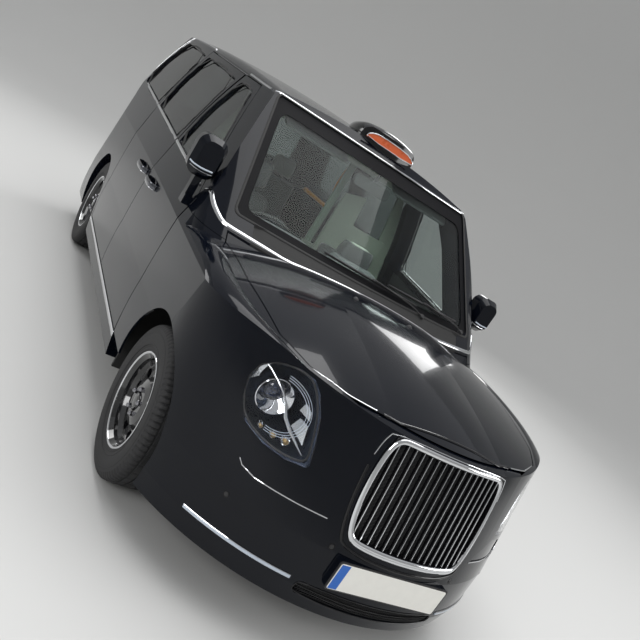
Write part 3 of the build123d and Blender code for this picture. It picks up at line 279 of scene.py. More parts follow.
# %% [markdown]
# ## The floor
# A black car is seen almost only by what it mirrors. The floor is one pale sheet that rises far round the
# car in a curve, so that no horizon line shows in the paint.

# %% Floor and backdrop
FLOOR_GREY = (0.62, 0.62, 0.61)
BEND_START = 8.0
BEND_RADIUS = 5.0
WALL_TOP = 9.0
FLOOR_SPOKES = 72


def backdrop_profile():
    """Distance from the car and height, along the floor and up its curved rim."""
    flat = [(BEND_START * part / 4, 0.0) for part in range(5)]
    turns = [radians(15 * part) for part in range(1, 7)]
    bend = [(BEND_START + BEND_RADIUS * sin(turn), BEND_RADIUS * (1 - cos(turn))) for turn in turns]
    return flat + bend + [(BEND_START + BEND_RADIUS, WALL_TOP)]


def make_floor():
    """A round pale floor with a curved rim, marked as stage."""
    profile = backdrop_profile()[1:]
    vertices = [(0.0, 0.0, 0.0)]
    for step in range(FLOOR_SPOKES):
        angle = 2 * pi * step / FLOOR_SPOKES
        vertices.extend((reach * cos(angle), reach * sin(angle), height) for reach, height in profile)
    width = len(profile)
    spokes = [(1 + step * width, 1 + (step + 1) % FLOOR_SPOKES * width) for step in range(FLOOR_SPOKES)]
    faces = [(0, near, far) for near, far in spokes]
    for near, far in spokes:
        faces.extend((near + k, near + k + 1, far + k + 1, far + k) for k in range(width - 1))
    mesh = bpy.data.meshes.new("floor")
    mesh.from_pydata(vertices, [], faces)
    mesh.validate()
    for polygon in mesh.polygons:
        polygon.use_smooth = True
    floor = bpy.data.objects.new("floor", mesh)
    bpy.context.scene.collection.objects.link(floor)
    paper = bpy.data.materials.new("floor_paper")
    paper.use_nodes = True
    shader = paper.node_tree.nodes["Principled BSDF"]
    shader.inputs["Base Color"].default_value = (*FLOOR_GREY, 1)
    shader.inputs["Roughness"].default_value = 0.85
    shader.inputs["Specular IOR Level"].default_value = 0.2
    mesh.materials.append(paper)
    floor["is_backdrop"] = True


make_floor()
print("floor reaches", BEND_START + BEND_RADIUS, "m")

# %% [markdown]
# ## Room light and soft lamps
# The room gives an even pale light, and five soft panels draw the highlights: one over the roof and one
# beyond each corner of the car. Small bright lamps would be simpler, but gloss black mirrors those as hard
# dots.

# %% World and lamps
WORLD_STRENGTH = 0.55
WORLD_COLOUR = (0.87, 0.88, 0.9)
# Name, place, aimed at, width, height, power in watts
SOFT_LAMPS = [
    ("over_roof", (0.0, -0.6, 6.2), (0.0, -0.4, 0.0), 5.2, 7.0, 330.0),
    ("front_right", (-5.6, -5.4, 3.4), (0.0, -1.4, 0.7), 3.4, 2.4, 170.0),
    ("front_left", (6.2, -4.6, 3.0), (0.0, -1.0, 0.9), 3.0, 2.4, 120.0),
    ("behind_left", (5.0, 5.6, 4.2), (0.0, 0.8, 1.1), 3.4, 2.6, 130.0),
    ("behind_right", (-5.4, 5.0, 3.6), (0.0, 0.8, 0.9), 3.2, 2.4, 100.0),
]


def make_world():
    """An even pale room light."""
    world = bpy.data.worlds.new("studio")
    bpy.context.scene.world = world
    world.use_nodes = True
    background = world.node_tree.nodes["Background"]
    background.inputs["Color"].default_value = (*WORLD_COLOUR, 1)
    background.inputs["Strength"].default_value = WORLD_STRENGTH


def make_lamp(name, place, aim, width, height, power):
    """One soft panel aimed at a point."""
    data = bpy.data.lights.new(name, "AREA")
    data.shape = "RECTANGLE"
    data.size = width
    data.size_y = height
    data.energy = power
    lamp = bpy.data.objects.new(name, data)
    lamp.location = place
    lamp.rotation_euler = (Vector(aim) - Vector(place)).to_track_quat("-Z", "Y").to_euler()
    bpy.context.scene.collection.objects.link(lamp)


make_world()
for lamp_row in SOFT_LAMPS:
    make_lamp(*lamp_row)
bpy.context.scene.view_settings.view_transform = "Standard"
print(len(SOFT_LAMPS), "lamps")

# %% [markdown]
# ## Finishes
# Real finishes are never one flat colour. Each one here is a Principled shader whose colour wavers a little
# with noise, and whose surface carries small bumps: the faint ripple of sprayed paint, the grain of moulded
# plastic, the pores of leather. One function builds them all, so the differences are easy to read.

# %% Finish maker
def finish(name, colour, rough, metal=0.0, mottle=(4.0, 0.06), ripple=(300.0, 0.02, 0.001),
           rough_swing=0.04, **looks):
    """A Principled material with wavering colour and roughness and a fine bump.

    Mottle is the scale and depth of the colour's wavering, ripple the scale, strength and height of bumps.
    Any other socket is given by its name with underscores.
    """
    material = bpy.data.materials.new(name)
    material.use_nodes = True
    nodes, links = material.node_tree.nodes, material.node_tree.links
    shader = nodes["Principled BSDF"]
    place = nodes.new("ShaderNodeTexCoord")
    patches = nodes.new("ShaderNodeTexNoise")
    patches.inputs["Scale"].default_value = mottle[0]
    patches.inputs["Detail"].default_value = 5.0
    links.new(place.outputs["Object"], patches.inputs["Vector"])
    shades = nodes.new("ShaderNodeValToRGB")
    shades.color_ramp.elements[0].position = 0.3
    shades.color_ramp.elements[1].position = 0.7
    shades.color_ramp.elements[0].color = (*[c * (1 - mottle[1]) for c in colour], 1)
    shades.color_ramp.elements[1].color = (*[min(1.0, c * (1 + mottle[1])) for c in colour], 1)
    links.new(patches.outputs["Fac"], shades.inputs["Fac"])
    links.new(shades.outputs["Color"], shader.inputs["Base Color"])
    sheen_range = nodes.new("ShaderNodeMapRange")
    sheen_range.inputs["To Min"].default_value = max(0.0, rough - rough_swing)
    sheen_range.inputs["To Max"].default_value = min(1.0, rough + rough_swing)
    links.new(patches.outputs["Fac"], sheen_range.inputs["Value"])
    links.new(sheen_range.outputs["Result"], shader.inputs["Roughness"])
    grain = nodes.new("ShaderNodeTexNoise")
    grain.inputs["Scale"].default_value = ripple[0]
    grain.inputs["Detail"].default_value = 3.0
    links.new(place.outputs["Object"], grain.inputs["Vector"])
    bump = nodes.new("ShaderNodeBump")
    bump.inputs["Strength"].default_value = ripple[1]
    bump.inputs["Distance"].default_value = ripple[2]
    links.new(grain.outputs["Fac"], bump.inputs["Height"])
    links.new(bump.outputs["Normal"], shader.inputs["Normal"])
    shader.inputs["Metallic"].default_value = metal
    for socket, value in looks.items():
        shader.inputs[socket.replace("_", " ")].default_value = value
    return material


def pane(name, colour, rough=0.0, bend=1.45):
    """Clear or tinted glass that lets lamp light through."""
    material = bpy.data.materials.new(name)
    material.use_nodes = True
    nodes, links = material.node_tree.nodes, material.node_tree.links
    shader = nodes["Principled BSDF"]
    shader.inputs["Base Color"].default_value = (*colour, 1)
    shader.inputs["Roughness"].default_value = rough
    shader.inputs["IOR"].default_value = bend
    shader.inputs["Transmission Weight"].default_value = 1.0
    see_through = nodes.new("ShaderNodeBsdfTransparent")
    see_through.inputs["Color"].default_value = (*colour, 1)
    rays = nodes.new("ShaderNodeLightPath")
    choose = nodes.new("ShaderNodeMixShader")
    links.new(rays.outputs["Is Shadow Ray"], choose.inputs["Fac"])
    links.new(shader.outputs["BSDF"], choose.inputs[1])
    links.new(see_through.outputs["BSDF"], choose.inputs[2])
    links.new(choose.outputs["Shader"], nodes["Material Output"].inputs["Surface"])
    return material


print("finish makers ready")

# %% [markdown]
# ## Paint, metal, rubber and lenses
# Gloss black paint is nearly all reflection, so its own colour is almost zero and a thin clear coat carries
# the shine. Chrome is plain metal with hardly any roughness, and tyre rubber is dull with a fine grain.

# %% Finishes of the outside
PAINT = finish("black_paint", (0.002, 0.003, 0.006), 0.14, mottle=(1.5, 0.2), ripple=(420.0, 0.012, 0.0006),
               rough_swing=0.03, Coat_Weight=0.4, Coat_Roughness=0.012, Specular_IOR_Level=0.06)
GLOSS_BLACK = finish("gloss_black_trim", (0.005, 0.005, 0.006), 0.1, ripple=(260.0, 0.015, 0.0006),
                     Specular_IOR_Level=0.4)
SATIN_BLACK = finish("satin_black_plastic", (0.018, 0.018, 0.019), 0.5, ripple=(700.0, 0.2, 0.0006))
SEAL = finish("rubber_seal", (0.012, 0.012, 0.012), 0.72, ripple=(500.0, 0.15, 0.0006))
CHROME = finish("polished_chrome", (0.72, 0.73, 0.75), 0.06, metal=1.0, mottle=(9.0, 0.03), rough_swing=0.03,
                ripple=(120.0, 0.01, 0.0004))
DARK_CHROME = finish("smoked_chrome", (0.3, 0.3, 0.32), 0.16, metal=1.0, mottle=(12.0, 0.06))
RUBBER = finish("tyre_rubber", (0.016, 0.016, 0.017), 0.72, mottle=(14.0, 0.25), ripple=(900.0, 0.3, 0.0006),
                rough_swing=0.08)
WHEEL_BLACK = finish("wheel_gloss_black", (0.006, 0.006, 0.007), 0.1, mottle=(6.0, 0.15), Coat_Weight=1.0,
                     Coat_Roughness=0.02)
BRIGHT_METAL = finish("machined_metal", (0.62, 0.63, 0.65), 0.2, metal=1.0, mottle=(40.0, 0.06))
STEEL = finish("coated_steel", (0.05, 0.05, 0.052), 0.5, metal=0.6, mottle=(10.0, 0.2),
               ripple=(200.0, 0.1, 0.001))
IRON = finish("cast_iron", (0.07, 0.066, 0.062), 0.62, metal=0.8, mottle=(30.0, 0.25),
              ripple=(350.0, 0.35, 0.001))
LENS_RED = finish("red_lens", (0.5, 0.01, 0.01), 0.08, mottle=(40.0, 0.2), Coat_Weight=1.0)
LENS_AMBER = finish("amber_lens", (0.85, 0.28, 0.02), 0.12, mottle=(40.0, 0.12), Coat_Weight=0.6)
MIRROR = finish("mirror_glass", (0.86, 0.88, 0.9), 0.01, metal=1.0, mottle=(2.0, 0.01), rough_swing=0.01)
PLATE_WHITE = finish("plate_white", (0.84, 0.83, 0.78), 0.3, mottle=(30.0, 0.02),
                     ripple=(600.0, 0.05, 0.0004))
PLATE_YELLOW = finish("plate_yellow", (0.85, 0.6, 0.03), 0.3, mottle=(30.0, 0.03),
                      ripple=(600.0, 0.05, 0.0004))
PLATE_BLUE = finish("plate_blue", (0.01, 0.12, 0.5), 0.3, mottle=(30.0, 0.03))
HANDLE_GLOSS = finish("handle_smoked_gloss", (0.13, 0.135, 0.15), 0.07, metal=0.9, mottle=(9.0, 0.05))
BULB = finish("indicator_bulb", (0.5, 0.34, 0.15), 0.15, Coat_Weight=0.6)
SIGN_AMBER = finish("sign_amber", (0.5, 0.085, 0.02), 0.28, mottle=(20.0, 0.08), Coat_Weight=0.6,
                    Emission_Color=(1.0, 0.2, 0.03, 1), Emission_Strength=0.05)
BOWL_DARK = finish("lamp_bowl_dark", (0.05, 0.065, 0.1), 0.22, metal=0.7, mottle=(8.0, 0.1))
SCREEN_PRINT = finish("printed_glass_edge", (0.004, 0.004, 0.005), 0.6, ripple=(400.0, 0.05, 0.0004),
                      Specular_IOR_Level=0.1)
print("outside finishes made")

# %% [markdown]
# ## Glass
# A car window is a thin sheet, so it hardly shifts what is behind it. A low index of refraction keeps the
# mirrored ceiling from hiding the cabin, and the tint differs from pane to pane. Shadow rays pass straight
# through, so the cabin is lit as in daylight.

# %% Panes and clear covers
TINT_GLASS = pane("tinted_glass", (0.5, 0.54, 0.53), 0.0, 1.35)
DARK_GLASS = pane("privacy_glass", (0.2, 0.22, 0.22))
SCREEN_GLASS = pane("screen_glass", (0.84, 0.9, 0.88), 0.0, 1.18)
LENS_CLEAR = pane("clear_lens", (0.95, 0.96, 0.97), 0.0, 1.25)
print("four kinds of glass made")

# %% [markdown]
# ## Cabin finishes
# The photo shows a dark padded dashboard, pale moulded panels, grey leather seats and orange grab handles.
# Leather and moulded plastic get their look from their grain, so their bump is much stronger than the
# paint's.

# %% Finishes of the inside
CABIN_PALE = finish("pale_cabin_plastic", (0.3, 0.34, 0.28), 0.6, mottle=(5.0, 0.08),
                    ripple=(900.0, 0.3, 0.0008))
CABIN_DARK = finish("dark_cabin_plastic", (0.028, 0.03, 0.031), 0.55, mottle=(5.0, 0.1),
                    ripple=(900.0, 0.35, 0.0008))
LEATHER = finish("seat_leather", (0.085, 0.09, 0.09), 0.45, mottle=(12.0, 0.12), ripple=(420.0, 0.4, 0.0012),
                 Sheen_Weight=0.1)
LEATHER_PALE = finish("pale_seat_leather", (0.2, 0.21, 0.2), 0.45, mottle=(12.0, 0.1),
                      ripple=(420.0, 0.4, 0.0012))
DASH_GREY = finish("dash_pad_grey", (0.07, 0.078, 0.078), 0.7, mottle=(5.0, 0.08),
                   ripple=(900.0, 0.35, 0.0008))
CARPET = finish("floor_carpet", (0.03, 0.031, 0.032), 0.95, mottle=(60.0, 0.3),
                ripple=(1400.0, 0.9, 0.003))
GRAB_ORANGE = finish("grab_handle_orange", (0.85, 0.3, 0.03), 0.4, mottle=(10.0, 0.05))
SCREEN_DARK = finish("display_dark", (0.01, 0.012, 0.016), 0.08, ripple=(200.0, 0.0, 0.0004))
HEADLINING = finish("roof_lining", (0.4, 0.4, 0.38), 0.95, mottle=(30.0, 0.05), ripple=(1100.0, 0.6, 0.0015))
print("inside finishes made")

# %% [markdown]
# ## The painted panels and the glass
# The solid panels keep their shapes: doors, wings, bonnet and roof are real walls with real gaps. What they
# lack is the tiny rounding of a pressed edge, which catches the light along a shut line. A bevel limited to
# sharp edges adds it, and its hardened normals keep the wide surfaces calm.

# %% Finish the solid pieces
SIDES = ((1, "left"), (-1, "right"))
# Finish, solids that stand alone, solids that come as a left and a right one
SOLID_LOOKS = [
    (PAINT, ["bonnet", "roof_panel", "front_bumper", "rear_bumper", "tailgate"],
     ["bodyside", "wing", "door_front", "door_rear"]),
    (TINT_GLASS, [], ["glass_front"]),
    (DARK_GLASS, ["quarter_glass", "tailgate_glass"], ["glass_rear"]),
    (SCREEN_GLASS, ["windscreen", "partition_glass"], []),
    (LENS_CLEAR, ["headlamps"], []),
    (BOWL_DARK, ["lamp_bowls"], []),
    (LENS_RED, ["tail_lamps"], []),
    (GLOSS_BLACK, ["grille", "roof_sign"], []),
    (CARPET, ["floor_pan"], []),
    (SEAL, ["bulkhead"], []),
    (STEEL, ["front_subframe", "battery_pack"], []),
    (IRON, ["rear_axle", "engine_block"], ["knuckle"]),
    (RUBBER, [], ["tyre_front", "tyre_rear"]),
    (WHEEL_BLACK, [], ["rim_front", "rim_rear"]),
    (CABIN_DARK, ["dashboard", "steering_wheel"], []),
    (CABIN_PALE, ["partition"], []),
    (LEATHER, ["driver_seat", "tip_up_seats", "rear_bench"], []),
]
EDGE_ROUND = {
    "bonnet": 0.003, "roof_panel": 0.002, "front_bumper": 0.002, "rear_bumper": 0.003, "tailgate": 0.003,
    "door_front": 0.003, "door_rear": 0.003, "wing": 0.002, "dashboard": 0.012, "roof_sign": 0.008,
    "partition": 0.004,
}


def finish_solid(name, kind, material):
    """Gives one solid piece its finish and, where its kind asks for it, rounded sharp edges."""
    solid = NODES[name]
    solid.data.materials.clear()
    solid.data.materials.append(material)
    if kind in EDGE_ROUND:
        soften(solid, EDGE_ROUND[kind])


finished = 0
for material, alone, paired in SOLID_LOOKS:
    named = [(name, name) for name in alone]
    named += [(f"{kind}_{word}", kind) for kind in paired for _, word in SIDES]
    for name, kind in named:
        finish_solid(name, kind, material)
    finished += len(named)
print(finished, "solid pieces finished")

# %% [markdown]
# ## More mesh tools
# Small hardware repeats a few shapes: a bar bent along a line, an outline given a thickness, a patch laid
# on a panel, a stud that stands on it. These helpers return plain vertices and faces, so that a handle or
# wiper is put together before it becomes an object.

# %% Shapes for hardware
def joined(parts):
    """Several shapes as one list of vertices and faces."""
    vertices, faces = [], []
    for part_vertices, part_faces in parts:
        start = len(vertices)
        vertices.extend(part_vertices)
        faces.extend(tuple(start + index for index in face) for face in part_faces)
    return vertices, faces


def bar(line, radius, sides=10, flat=1.0):
    """A round or flattened bar along points, with closed ends."""
    points = [Vector(point) for point in line]
    radii = radius if isinstance(radius, (list, tuple)) else [radius] * len(points)
    vertices = []
    across = None
    for place, point in enumerate(points):
        along = (points[min(place + 1, len(points) - 1)] - points[max(place - 1, 0)]).normalized()
        if across is None:
            start = Vector((0, 0, 1)) if abs(along.z) < 0.8 else Vector((0, 1, 0))
            across = along.cross(start).normalized()
        across = (across - along * across.dot(along)).normalized()
        up = across.cross(along)
        for side in range(sides):
            angle = 2 * pi * side / sides
            reach = radii[place]
            vertices.append(point + across * cos(angle) * reach + up * sin(angle) * reach * flat)
    faces = grid_faces(len(points), sides, close_columns=True)
    faces.append(tuple(range(sides)))
    faces.append(tuple(range(len(points) * sides - sides, len(points) * sides))[::-1])
    return vertices, faces


def slab(outline, low, high, axis):
    """An outline given a thickness along X, Y or Z; its points are the other two coordinates in order."""
    def place(point, level):
        near = list(point)
        near.insert(axis, level)
        return Vector(near)

    count = len(outline)
    vertices = [place(point, level) for level in (low, high) for point in outline]
    faces = [(k, (k + 1) % count, count + (k + 1) % count, count + k) for k in range(count)]
    faces.append(tuple(range(count))[::-1])
    faces.append(tuple(range(count, 2 * count)))
    return vertices, faces


def rounded(width, height, radius, steps=5):
    """The points of a rounded rectangle round the middle."""
    points = []
    for corner, (a, b) in enumerate(((1, 1), (-1, 1), (-1, -1), (1, -1))):
        for step in range(steps + 1):
            angle = pi / 2 * (corner + step / steps)
            x = a * (width / 2 - radius) + radius * cos(angle)
            y = b * (height / 2 - radius) + radius * sin(angle)
            points.append((x, y))
    return points


print("bars, slabs and rounded outlines ready")

# %% Shapes set in place
def moved(shape, matrix):
    """A shape turned and shifted by a matrix."""
    return [matrix @ Vector(v) for v in shape[0]], shape[1]


def at(points, place):
    """Outline points shifted to a place."""
    return [(x + place[0], y + place[1]) for x, y in points]


def mirrored(half):
    """A line given up to the middle of the car, carried on to the other side."""
    return half + [(-point[0], *point[1:]) for point in reversed(half) if point[0]]


def seat(place, normal):
    """The matrix that stands a shape made about X on a surface."""
    return Matrix.Translation(place) @ normal.to_track_quat("X", "Z").to_matrix().to_4x4()


def stud(section, steps, place, normal):
    """A small turned shape that stands on a surface."""
    return moved(turned(section, steps), seat(place, normal))


def patch(corners, rows, columns, skin, lift, toward=None):
    """A four-cornered sheet laid on the skin, its places spaced evenly between the corners."""
    a, b, c, d = (Vector(corner) for corner in corners)
    line = []
    for row in range(rows + 1):
        left, right = a.lerp(d, row / rows), b.lerp(c, row / rows)
        line.extend(left.lerp(right, column / columns) for column in range(columns + 1))
    places, normals = settle(line, skin, 0.0, toward)
    raised = [place + normal * lift for place, normal in zip(places, normals)]
    return raised, grid_faces(rows + 1, columns + 1)


print("studs and patches ready")

# %% [markdown]
# ## Bright strips
# On the real car these are thin pressed strips of stainless steel along the roof edge, the waist, the cowl
# and the sills. Bevelled curves could draw them, but a curve floats off a curved panel. Here each strip is
# a row of listed places, dropped on to its panel, with a half-round bead swept along them.

# %% Strips along the body
BEAD_LIFT = 0.0005
WINDOW_REAR = [(0.72, 1.886, 1.795), (0.757, 1.93, 1.7), (0.83, 1.968, 1.45), (0.868, 1.985, 1.33)]
SHELL_X = 0.885
SILL_X, SILL_Z = 0.94, 0.327


def flip(points, side):
    """The same points on the car's other side where side is -1."""
    return [Vector((point[0] * side, point[1], point[2])) for point in points]


def strip(name, corners, carriers, looks, body, width, height, slot="body_paint", closed=False, rounds=2,
          step=0.02, toward=None):
    """A half-round bead settled on the pieces that carry it."""
    line = smooth_line(corners, step, rounds, closed)
    places, normals = settle(line, carriers, BEAD_LIFT, toward)
    vertices, faces = swept(places, normals, width, height, closed)
    return add_piece(name, vertices, faces, looks, body, slot)


def waist(y):
    """Height of the waist line along the car."""
    return 1.148 + 0.055 * (y + 1.109)


def roof_edge(y):
    """Height of the bright strip over the doors."""
    return 1.7365 + 0.0365 * (y + 0.283)


for side, word in SIDES:
    shell = skin_of(f"bodyside_{word}", "roof_panel")
    over_doors = [(0.705, -0.44, 1.7335)] + [(0.71, y, roof_edge(y)) for y in (-0.25, 0.4, 1.1, 1.8)]
    strip(f"roof_strip_{word}", flip([*over_doors, *WINDOW_REAR], side), shell, CHROME, "body", 0.013, 0.005)
    quarter = [(SHELL_X, y, waist(y)) for y in (1.04, 1.4, 1.8)] + [(0.86, 1.96, 1.318)]
    strip(f"waist_strip_quarter_{word}", flip(quarter, side), shell, CHROME, "body", 0.017, 0.006)
    for door, reaches in (("rear", (0.068, 0.5, 1.026)), ("front", (-0.8, -0.5, 0.046))):
        body = f"door_{door}_{word}"
        strip(f"waist_strip_{door}_door_{word}", flip([(SHELL_X, y, waist(y)) for y in reaches], side),
              skin_of(body), CHROME, body, 0.017, 0.006)
    sill = flip([(SILL_X, y, SILL_Z) for y in (-0.96, 0.0, 1.03)], side)
    strip(f"sill_strip_{word}", sill, shell, CHROME, "body", 0.03, 0.007)
print("side strips made")

# %% [markdown]
# ## The header and the cowl
# A thin strip closes the windscreen's top edge, and a broad one runs behind the bonnet from mirror to
# mirror. Seen from above both are shallow bows, so a formula gives their places and a ray drops them on to
# the body.

# %% Strips round the windscreen
HEADER_HALF = 0.7
HEADER_Y, HEADER_BOW, HEADER_Z = -0.52, 0.09, 1.7425
COWL_HALF = 0.778
COWL_BACK = 0.024
COWL_CORNER = [(0.812, -1.128), (0.85, -1.065), (0.872, -1.0), (0.882, -0.93), (0.884, -0.905)]


def cowl_line():
    """The strip behind the bonnet, from one door to the other, as places seen from above."""
    bow = [(COWL_HALF * part / 8, -1.172 - 0.118 * (1 - (part / 8) ** 2) + COWL_BACK) for part in range(9)]
    around = bow + COWL_CORNER
    right = [(-x, y) for x, y in reversed(around[1:])]
    return [(x, y, 1.2) for x, y in right + around]


header = []
for part in range(-8, 9):
    x = HEADER_HALF * part / 8
    header.append((x, HEADER_Y - HEADER_BOW * (1 - (x / HEADER_HALF) ** 2), HEADER_Z))
strip("header_strip", header, skin_of("roof_panel", "bodyside_left", "bodyside_right"), CHROME, "body", 0.012,
      0.005, rounds=1, toward=Vector((0, 1, -0.35)).normalized())
strip("cowl_strip", cowl_line(), skin_of("bulkhead", "bodyside_left", "bodyside_right"), CHROME, "body", 0.02,
      0.006, rounds=1, step=0.03, toward=Vector((0, 0, -1)))
print("header and cowl strips made")

# %% [markdown]
# ## The line along the bonnet's front edge
# In the photo the bonnet's edge over each headlamp shows as one thin bright line, a highlight on the
# panel's edge; a chrome bead stands in for it here, as a painted highlight. A ray that steps down until it
# misses the bonnet finds that edge, so the line stays on it however the edge curves.

# %% Bonnet edge
bonnet_skin = skin_of("bonnet")
EDGE_ABOVE = 0.006
AHEAD_OF_CAR = -3.0
RAY_STEP = 0.002


def bonnet_edge(x):
    """The lowest place of the bonnet's front edge at a distance from the middle, a little above its rim."""
    z = 1.05
    found = None
    while z > 0.8:
        place, _, _, _ = bonnet_skin.ray_cast(Vector((x, AHEAD_OF_CAR, z)), Vector((0, 1, 0)))
        if place:
            found = place
        elif found:
            break
        z -= RAY_STEP
    return found + Vector((0, 0, EDGE_ABOVE))


for side, word in SIDES:
    edge = [bonnet_edge(side * (0.36 + 0.02 * part)) for part in range(16)]
    # A chrome bead as a painted highlight along the bonnet's edge
    strip(f"bonnet_edge_highlight_{word}", edge, bonnet_skin, CHROME, "bonnet", 0.006, 0.003, rounds=1)
print("bonnet edge at", [round(c, 3) for c in edge[0]])

# %% [markdown]
# ## Tyres
# A tyre is a turned shape with a cut tread. Its section is drawn once as half-widths and radii, and points
# on the tread carry a mark for their pattern: shoulder lugs are cut all round at a close pitch, inner ribs
# have every second cut. Lowering those points round the axle gives real grooves, where a bump map would
# look flat at the edge.

# %% Tyre section and tread
TREAD_PITCHES = 84
STEPS_PER_PITCH = 4
LUG_DEPTH = 0.006
SIPE_DEPTH = 0.0035
FAR_SIDE_LAG = 3
# Half-width, radius, pattern
TYRE_HALF = [
    (0.084, 0.2036, ""), (0.0965, 0.2165, ""), (0.1, 0.2185, ""), (0.1015, 0.2245, ""), (0.1, 0.2275, ""),
    (0.1035, 0.24, ""), (0.1058, 0.2405, ""), (0.1062, 0.244, ""), (0.1052, 0.2446, ""), (0.1072, 0.262, ""),
    (0.1074, 0.278, ""), (0.1062, 0.292, ""), (0.1068, 0.2925, ""), (0.1066, 0.2955, ""), (0.1056, 0.296, ""),
    (0.1035, 0.312, ""), (0.1022, 0.3165, "lug"), (0.0995, 0.324, "lug"), (0.095, 0.3315, "lug"),
    (0.0885, 0.3368, "lug"), (0.079, 0.3396, "lug"), (0.0645, 0.3412, "lug"), (0.0632, 0.335, ""),
    (0.0558, 0.335, ""), (0.0545, 0.342, "rib"), (0.0425, 0.3425, "rib"), (0.0305, 0.3428, "rib"),
    (0.0292, 0.336, ""), (0.0218, 0.336, ""), (0.0205, 0.343, "rib"), (0.007, 0.343, "rib"),
]


def cut(mark, step):
    """How far a point of the tread is lowered at a step round the axle."""
    if mark == "lug" and step % STEPS_PER_PITCH == 0:
        return LUG_DEPTH
    if mark == "rib" and (step + 2) % (2 * STEPS_PER_PITCH) == 0:
        return SIPE_DEPTH
    return 0.0


def tyre_shape(centre, outward):
    """Vertices and faces of one tyre round its axle."""
    section = TYRE_HALF + [(-x, radius, mark) for x, radius, mark in reversed(TYRE_HALF)]
    steps = TREAD_PITCHES * STEPS_PER_PITCH
    vertices = []
    for step in range(steps):
        angle = 2 * pi * step / steps
        for x, radius, mark in section:
            reach = radius - cut(mark, step + (FAR_SIDE_LAG if x < 0 else 0))
            y, z = centre[1] + reach * sin(angle), centre[2] + reach * cos(angle)
            vertices.append((centre[0] + outward * x, y, z))
    return vertices, grid_faces(steps, len(section), close_rows=True, close_columns=True)


WHEELS = {}
for end in ("front", "rear"):
    for side, word in SIDES:
        low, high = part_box(f"tyre_{end}_{word}")
        centre = (low + high) / 2
        WHEELS[f"{end}_{word}"] = (centre, side)
        tyre = add_piece(f"road_tyre_{end}_{word}", *tyre_shape(centre, side), RUBBER, f"wheel_{end}_{word}",
                         "tyre", radians(28))
        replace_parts(tyre, f"tyre_{end}_{word}")
print(len(WHEELS), "tyres, each with", TREAD_PITCHES, "lugs a side")

# %% [markdown]
# ## Bright rim rings, caps and nuts
# The wheel itself is a solid disc with ten round holes, already modelled. Its edge carries a polished ring
# that shows as a thin bright circle, and its hub a domed cap with five nuts. They are turned shapes, a nut
# being a turned shape with only six steps.

# %% Wheel trim
# Sections as (place along the axle, radius)
RIM_RING = [(0.0966, 0.2146), (0.0985, 0.2128), (0.0989, 0.2088), (0.0976, 0.2052), (0.0952, 0.2034),
            (0.0944, 0.2042), (0.0958, 0.207)]
HUB_CAP = [(0.0585, 0.0385), (0.073, 0.0375), (0.0785, 0.034), (0.0795, 0.029), (0.0812, 0.0275),
           (0.0835, 0.015), (0.084, 0.0)]
NUT = [(0.0722, 0.0118), (0.083, 0.0118), (0.086, 0.0098), (0.089, 0.0085), (0.0915, 0.005), (0.092, 0.0)]
NUT_RING = 0.056
DISC_BRAKE = [(-0.012, 0.15), (0.010, 0.15), (0.010, 0.095), (0.002, 0.09), (0.002, 0.066)]


def hub_nuts(centre, side):
    """Five nuts round the hub."""
    parts = []
    for nut in range(5):
        angle = 2 * pi * nut / 5
        place = (centre.x, centre.y + NUT_RING * sin(angle), centre.z + NUT_RING * cos(angle))
        parts.append(turned(NUT, 6, place, side))
    return joined(parts)


for name, (centre, side) in WHEELS.items():
    body = f"wheel_{name}"
    ring = turned(RIM_RING + RIM_RING[:1], 96, centre, side)
    disc = turned(DISC_BRAKE + DISC_BRAKE[:1], 64, centre, side)
    add_piece(f"rim_ring_{name}", *ring, CHROME, body, "wheel_paint")
    add_piece(f"hub_cap_{name}", *turned(HUB_CAP, 40, centre, side), WHEEL_BLACK, body, "wheel_paint")
    add_piece(f"wheel_nuts_{name}", *hub_nuts(centre, side), DARK_CHROME, body, "wheel_paint", radians(25))
    add_piece(f"brake_disc_{name}", *disc, BRIGHT_METAL, body, "steel")
print("rings, caps, nuts and brake discs on", len(WHEELS), "wheels")

# %% [markdown]
# ## Inner wings
# With the bonnet up, a real car shows a pressed wall beside the engine that turns outwards over the tyre
# and keeps daylight out of the arch. One bent section drawn out along the car makes it, far enough in and
# high enough to let the wheel steer fully.

# %% Inner wings beside the engine
APRON_X, APRON_LOW = 0.442, 0.29
SHELF_X, SHELF_Z = 0.78, 0.80
APRON_SHEET = 0.004
APRON_Y = (-1.92, -1.16)
APRON_SECTION = [
    (APRON_X, APRON_LOW), (APRON_X, SHELF_Z - 0.02), (APRON_X + 0.02, SHELF_Z), (SHELF_X, SHELF_Z),
    (SHELF_X, SHELF_Z - APRON_SHEET), (APRON_X + 0.022, SHELF_Z - APRON_SHEET),
    (APRON_X + APRON_SHEET, SHELF_Z - 0.022), (APRON_X + APRON_SHEET, APRON_LOW),
]
for side, word in SIDES:
    wall = slab([(side * x, z) for x, z in APRON_SECTION], *APRON_Y, 1)
    add_piece(f"inner_wing_{word}", *wall, SATIN_BLACK, sharp=radians(30))
print("inner wings from", APRON_Y[0], "to", APRON_Y[1])

# %% [markdown]
# ## The nose as a formula
# The front of the car is one broad arc seen from above that leans back with height and tucks in under the
# chin. Grille, mesh and beads follow a formula for it, because most of them hang over an opening, where
# there is no panel to drop them on.

# %% Depth and direction of the nose
NOSE_TIP = cad_low.y
NOSE_RADIUS = 1.0
NOSE_LEAN = 0.14 / 0.78
NOSE_LEAN_FROM = 0.47
CHIN_LEAN = 0.33
CHIN_FROM = 0.29


def nose_y(x, z, proud=0.0):
    """Where the nose's skin stands in front view, moved forward by an amount."""
    lean = NOSE_LEAN * max(0.0, z - NOSE_LEAN_FROM) + CHIN_LEAN * max(0.0, CHIN_FROM - z)
    return NOSE_TIP + lean + NOSE_RADIUS - sqrt(NOSE_RADIUS ** 2 - x ** 2) - proud


def on_nose(points, proud=0.0):
    """Front-view places put on the nose."""
    return [Vector((x, nose_y(x, z, proud), z)) for x, z in points]


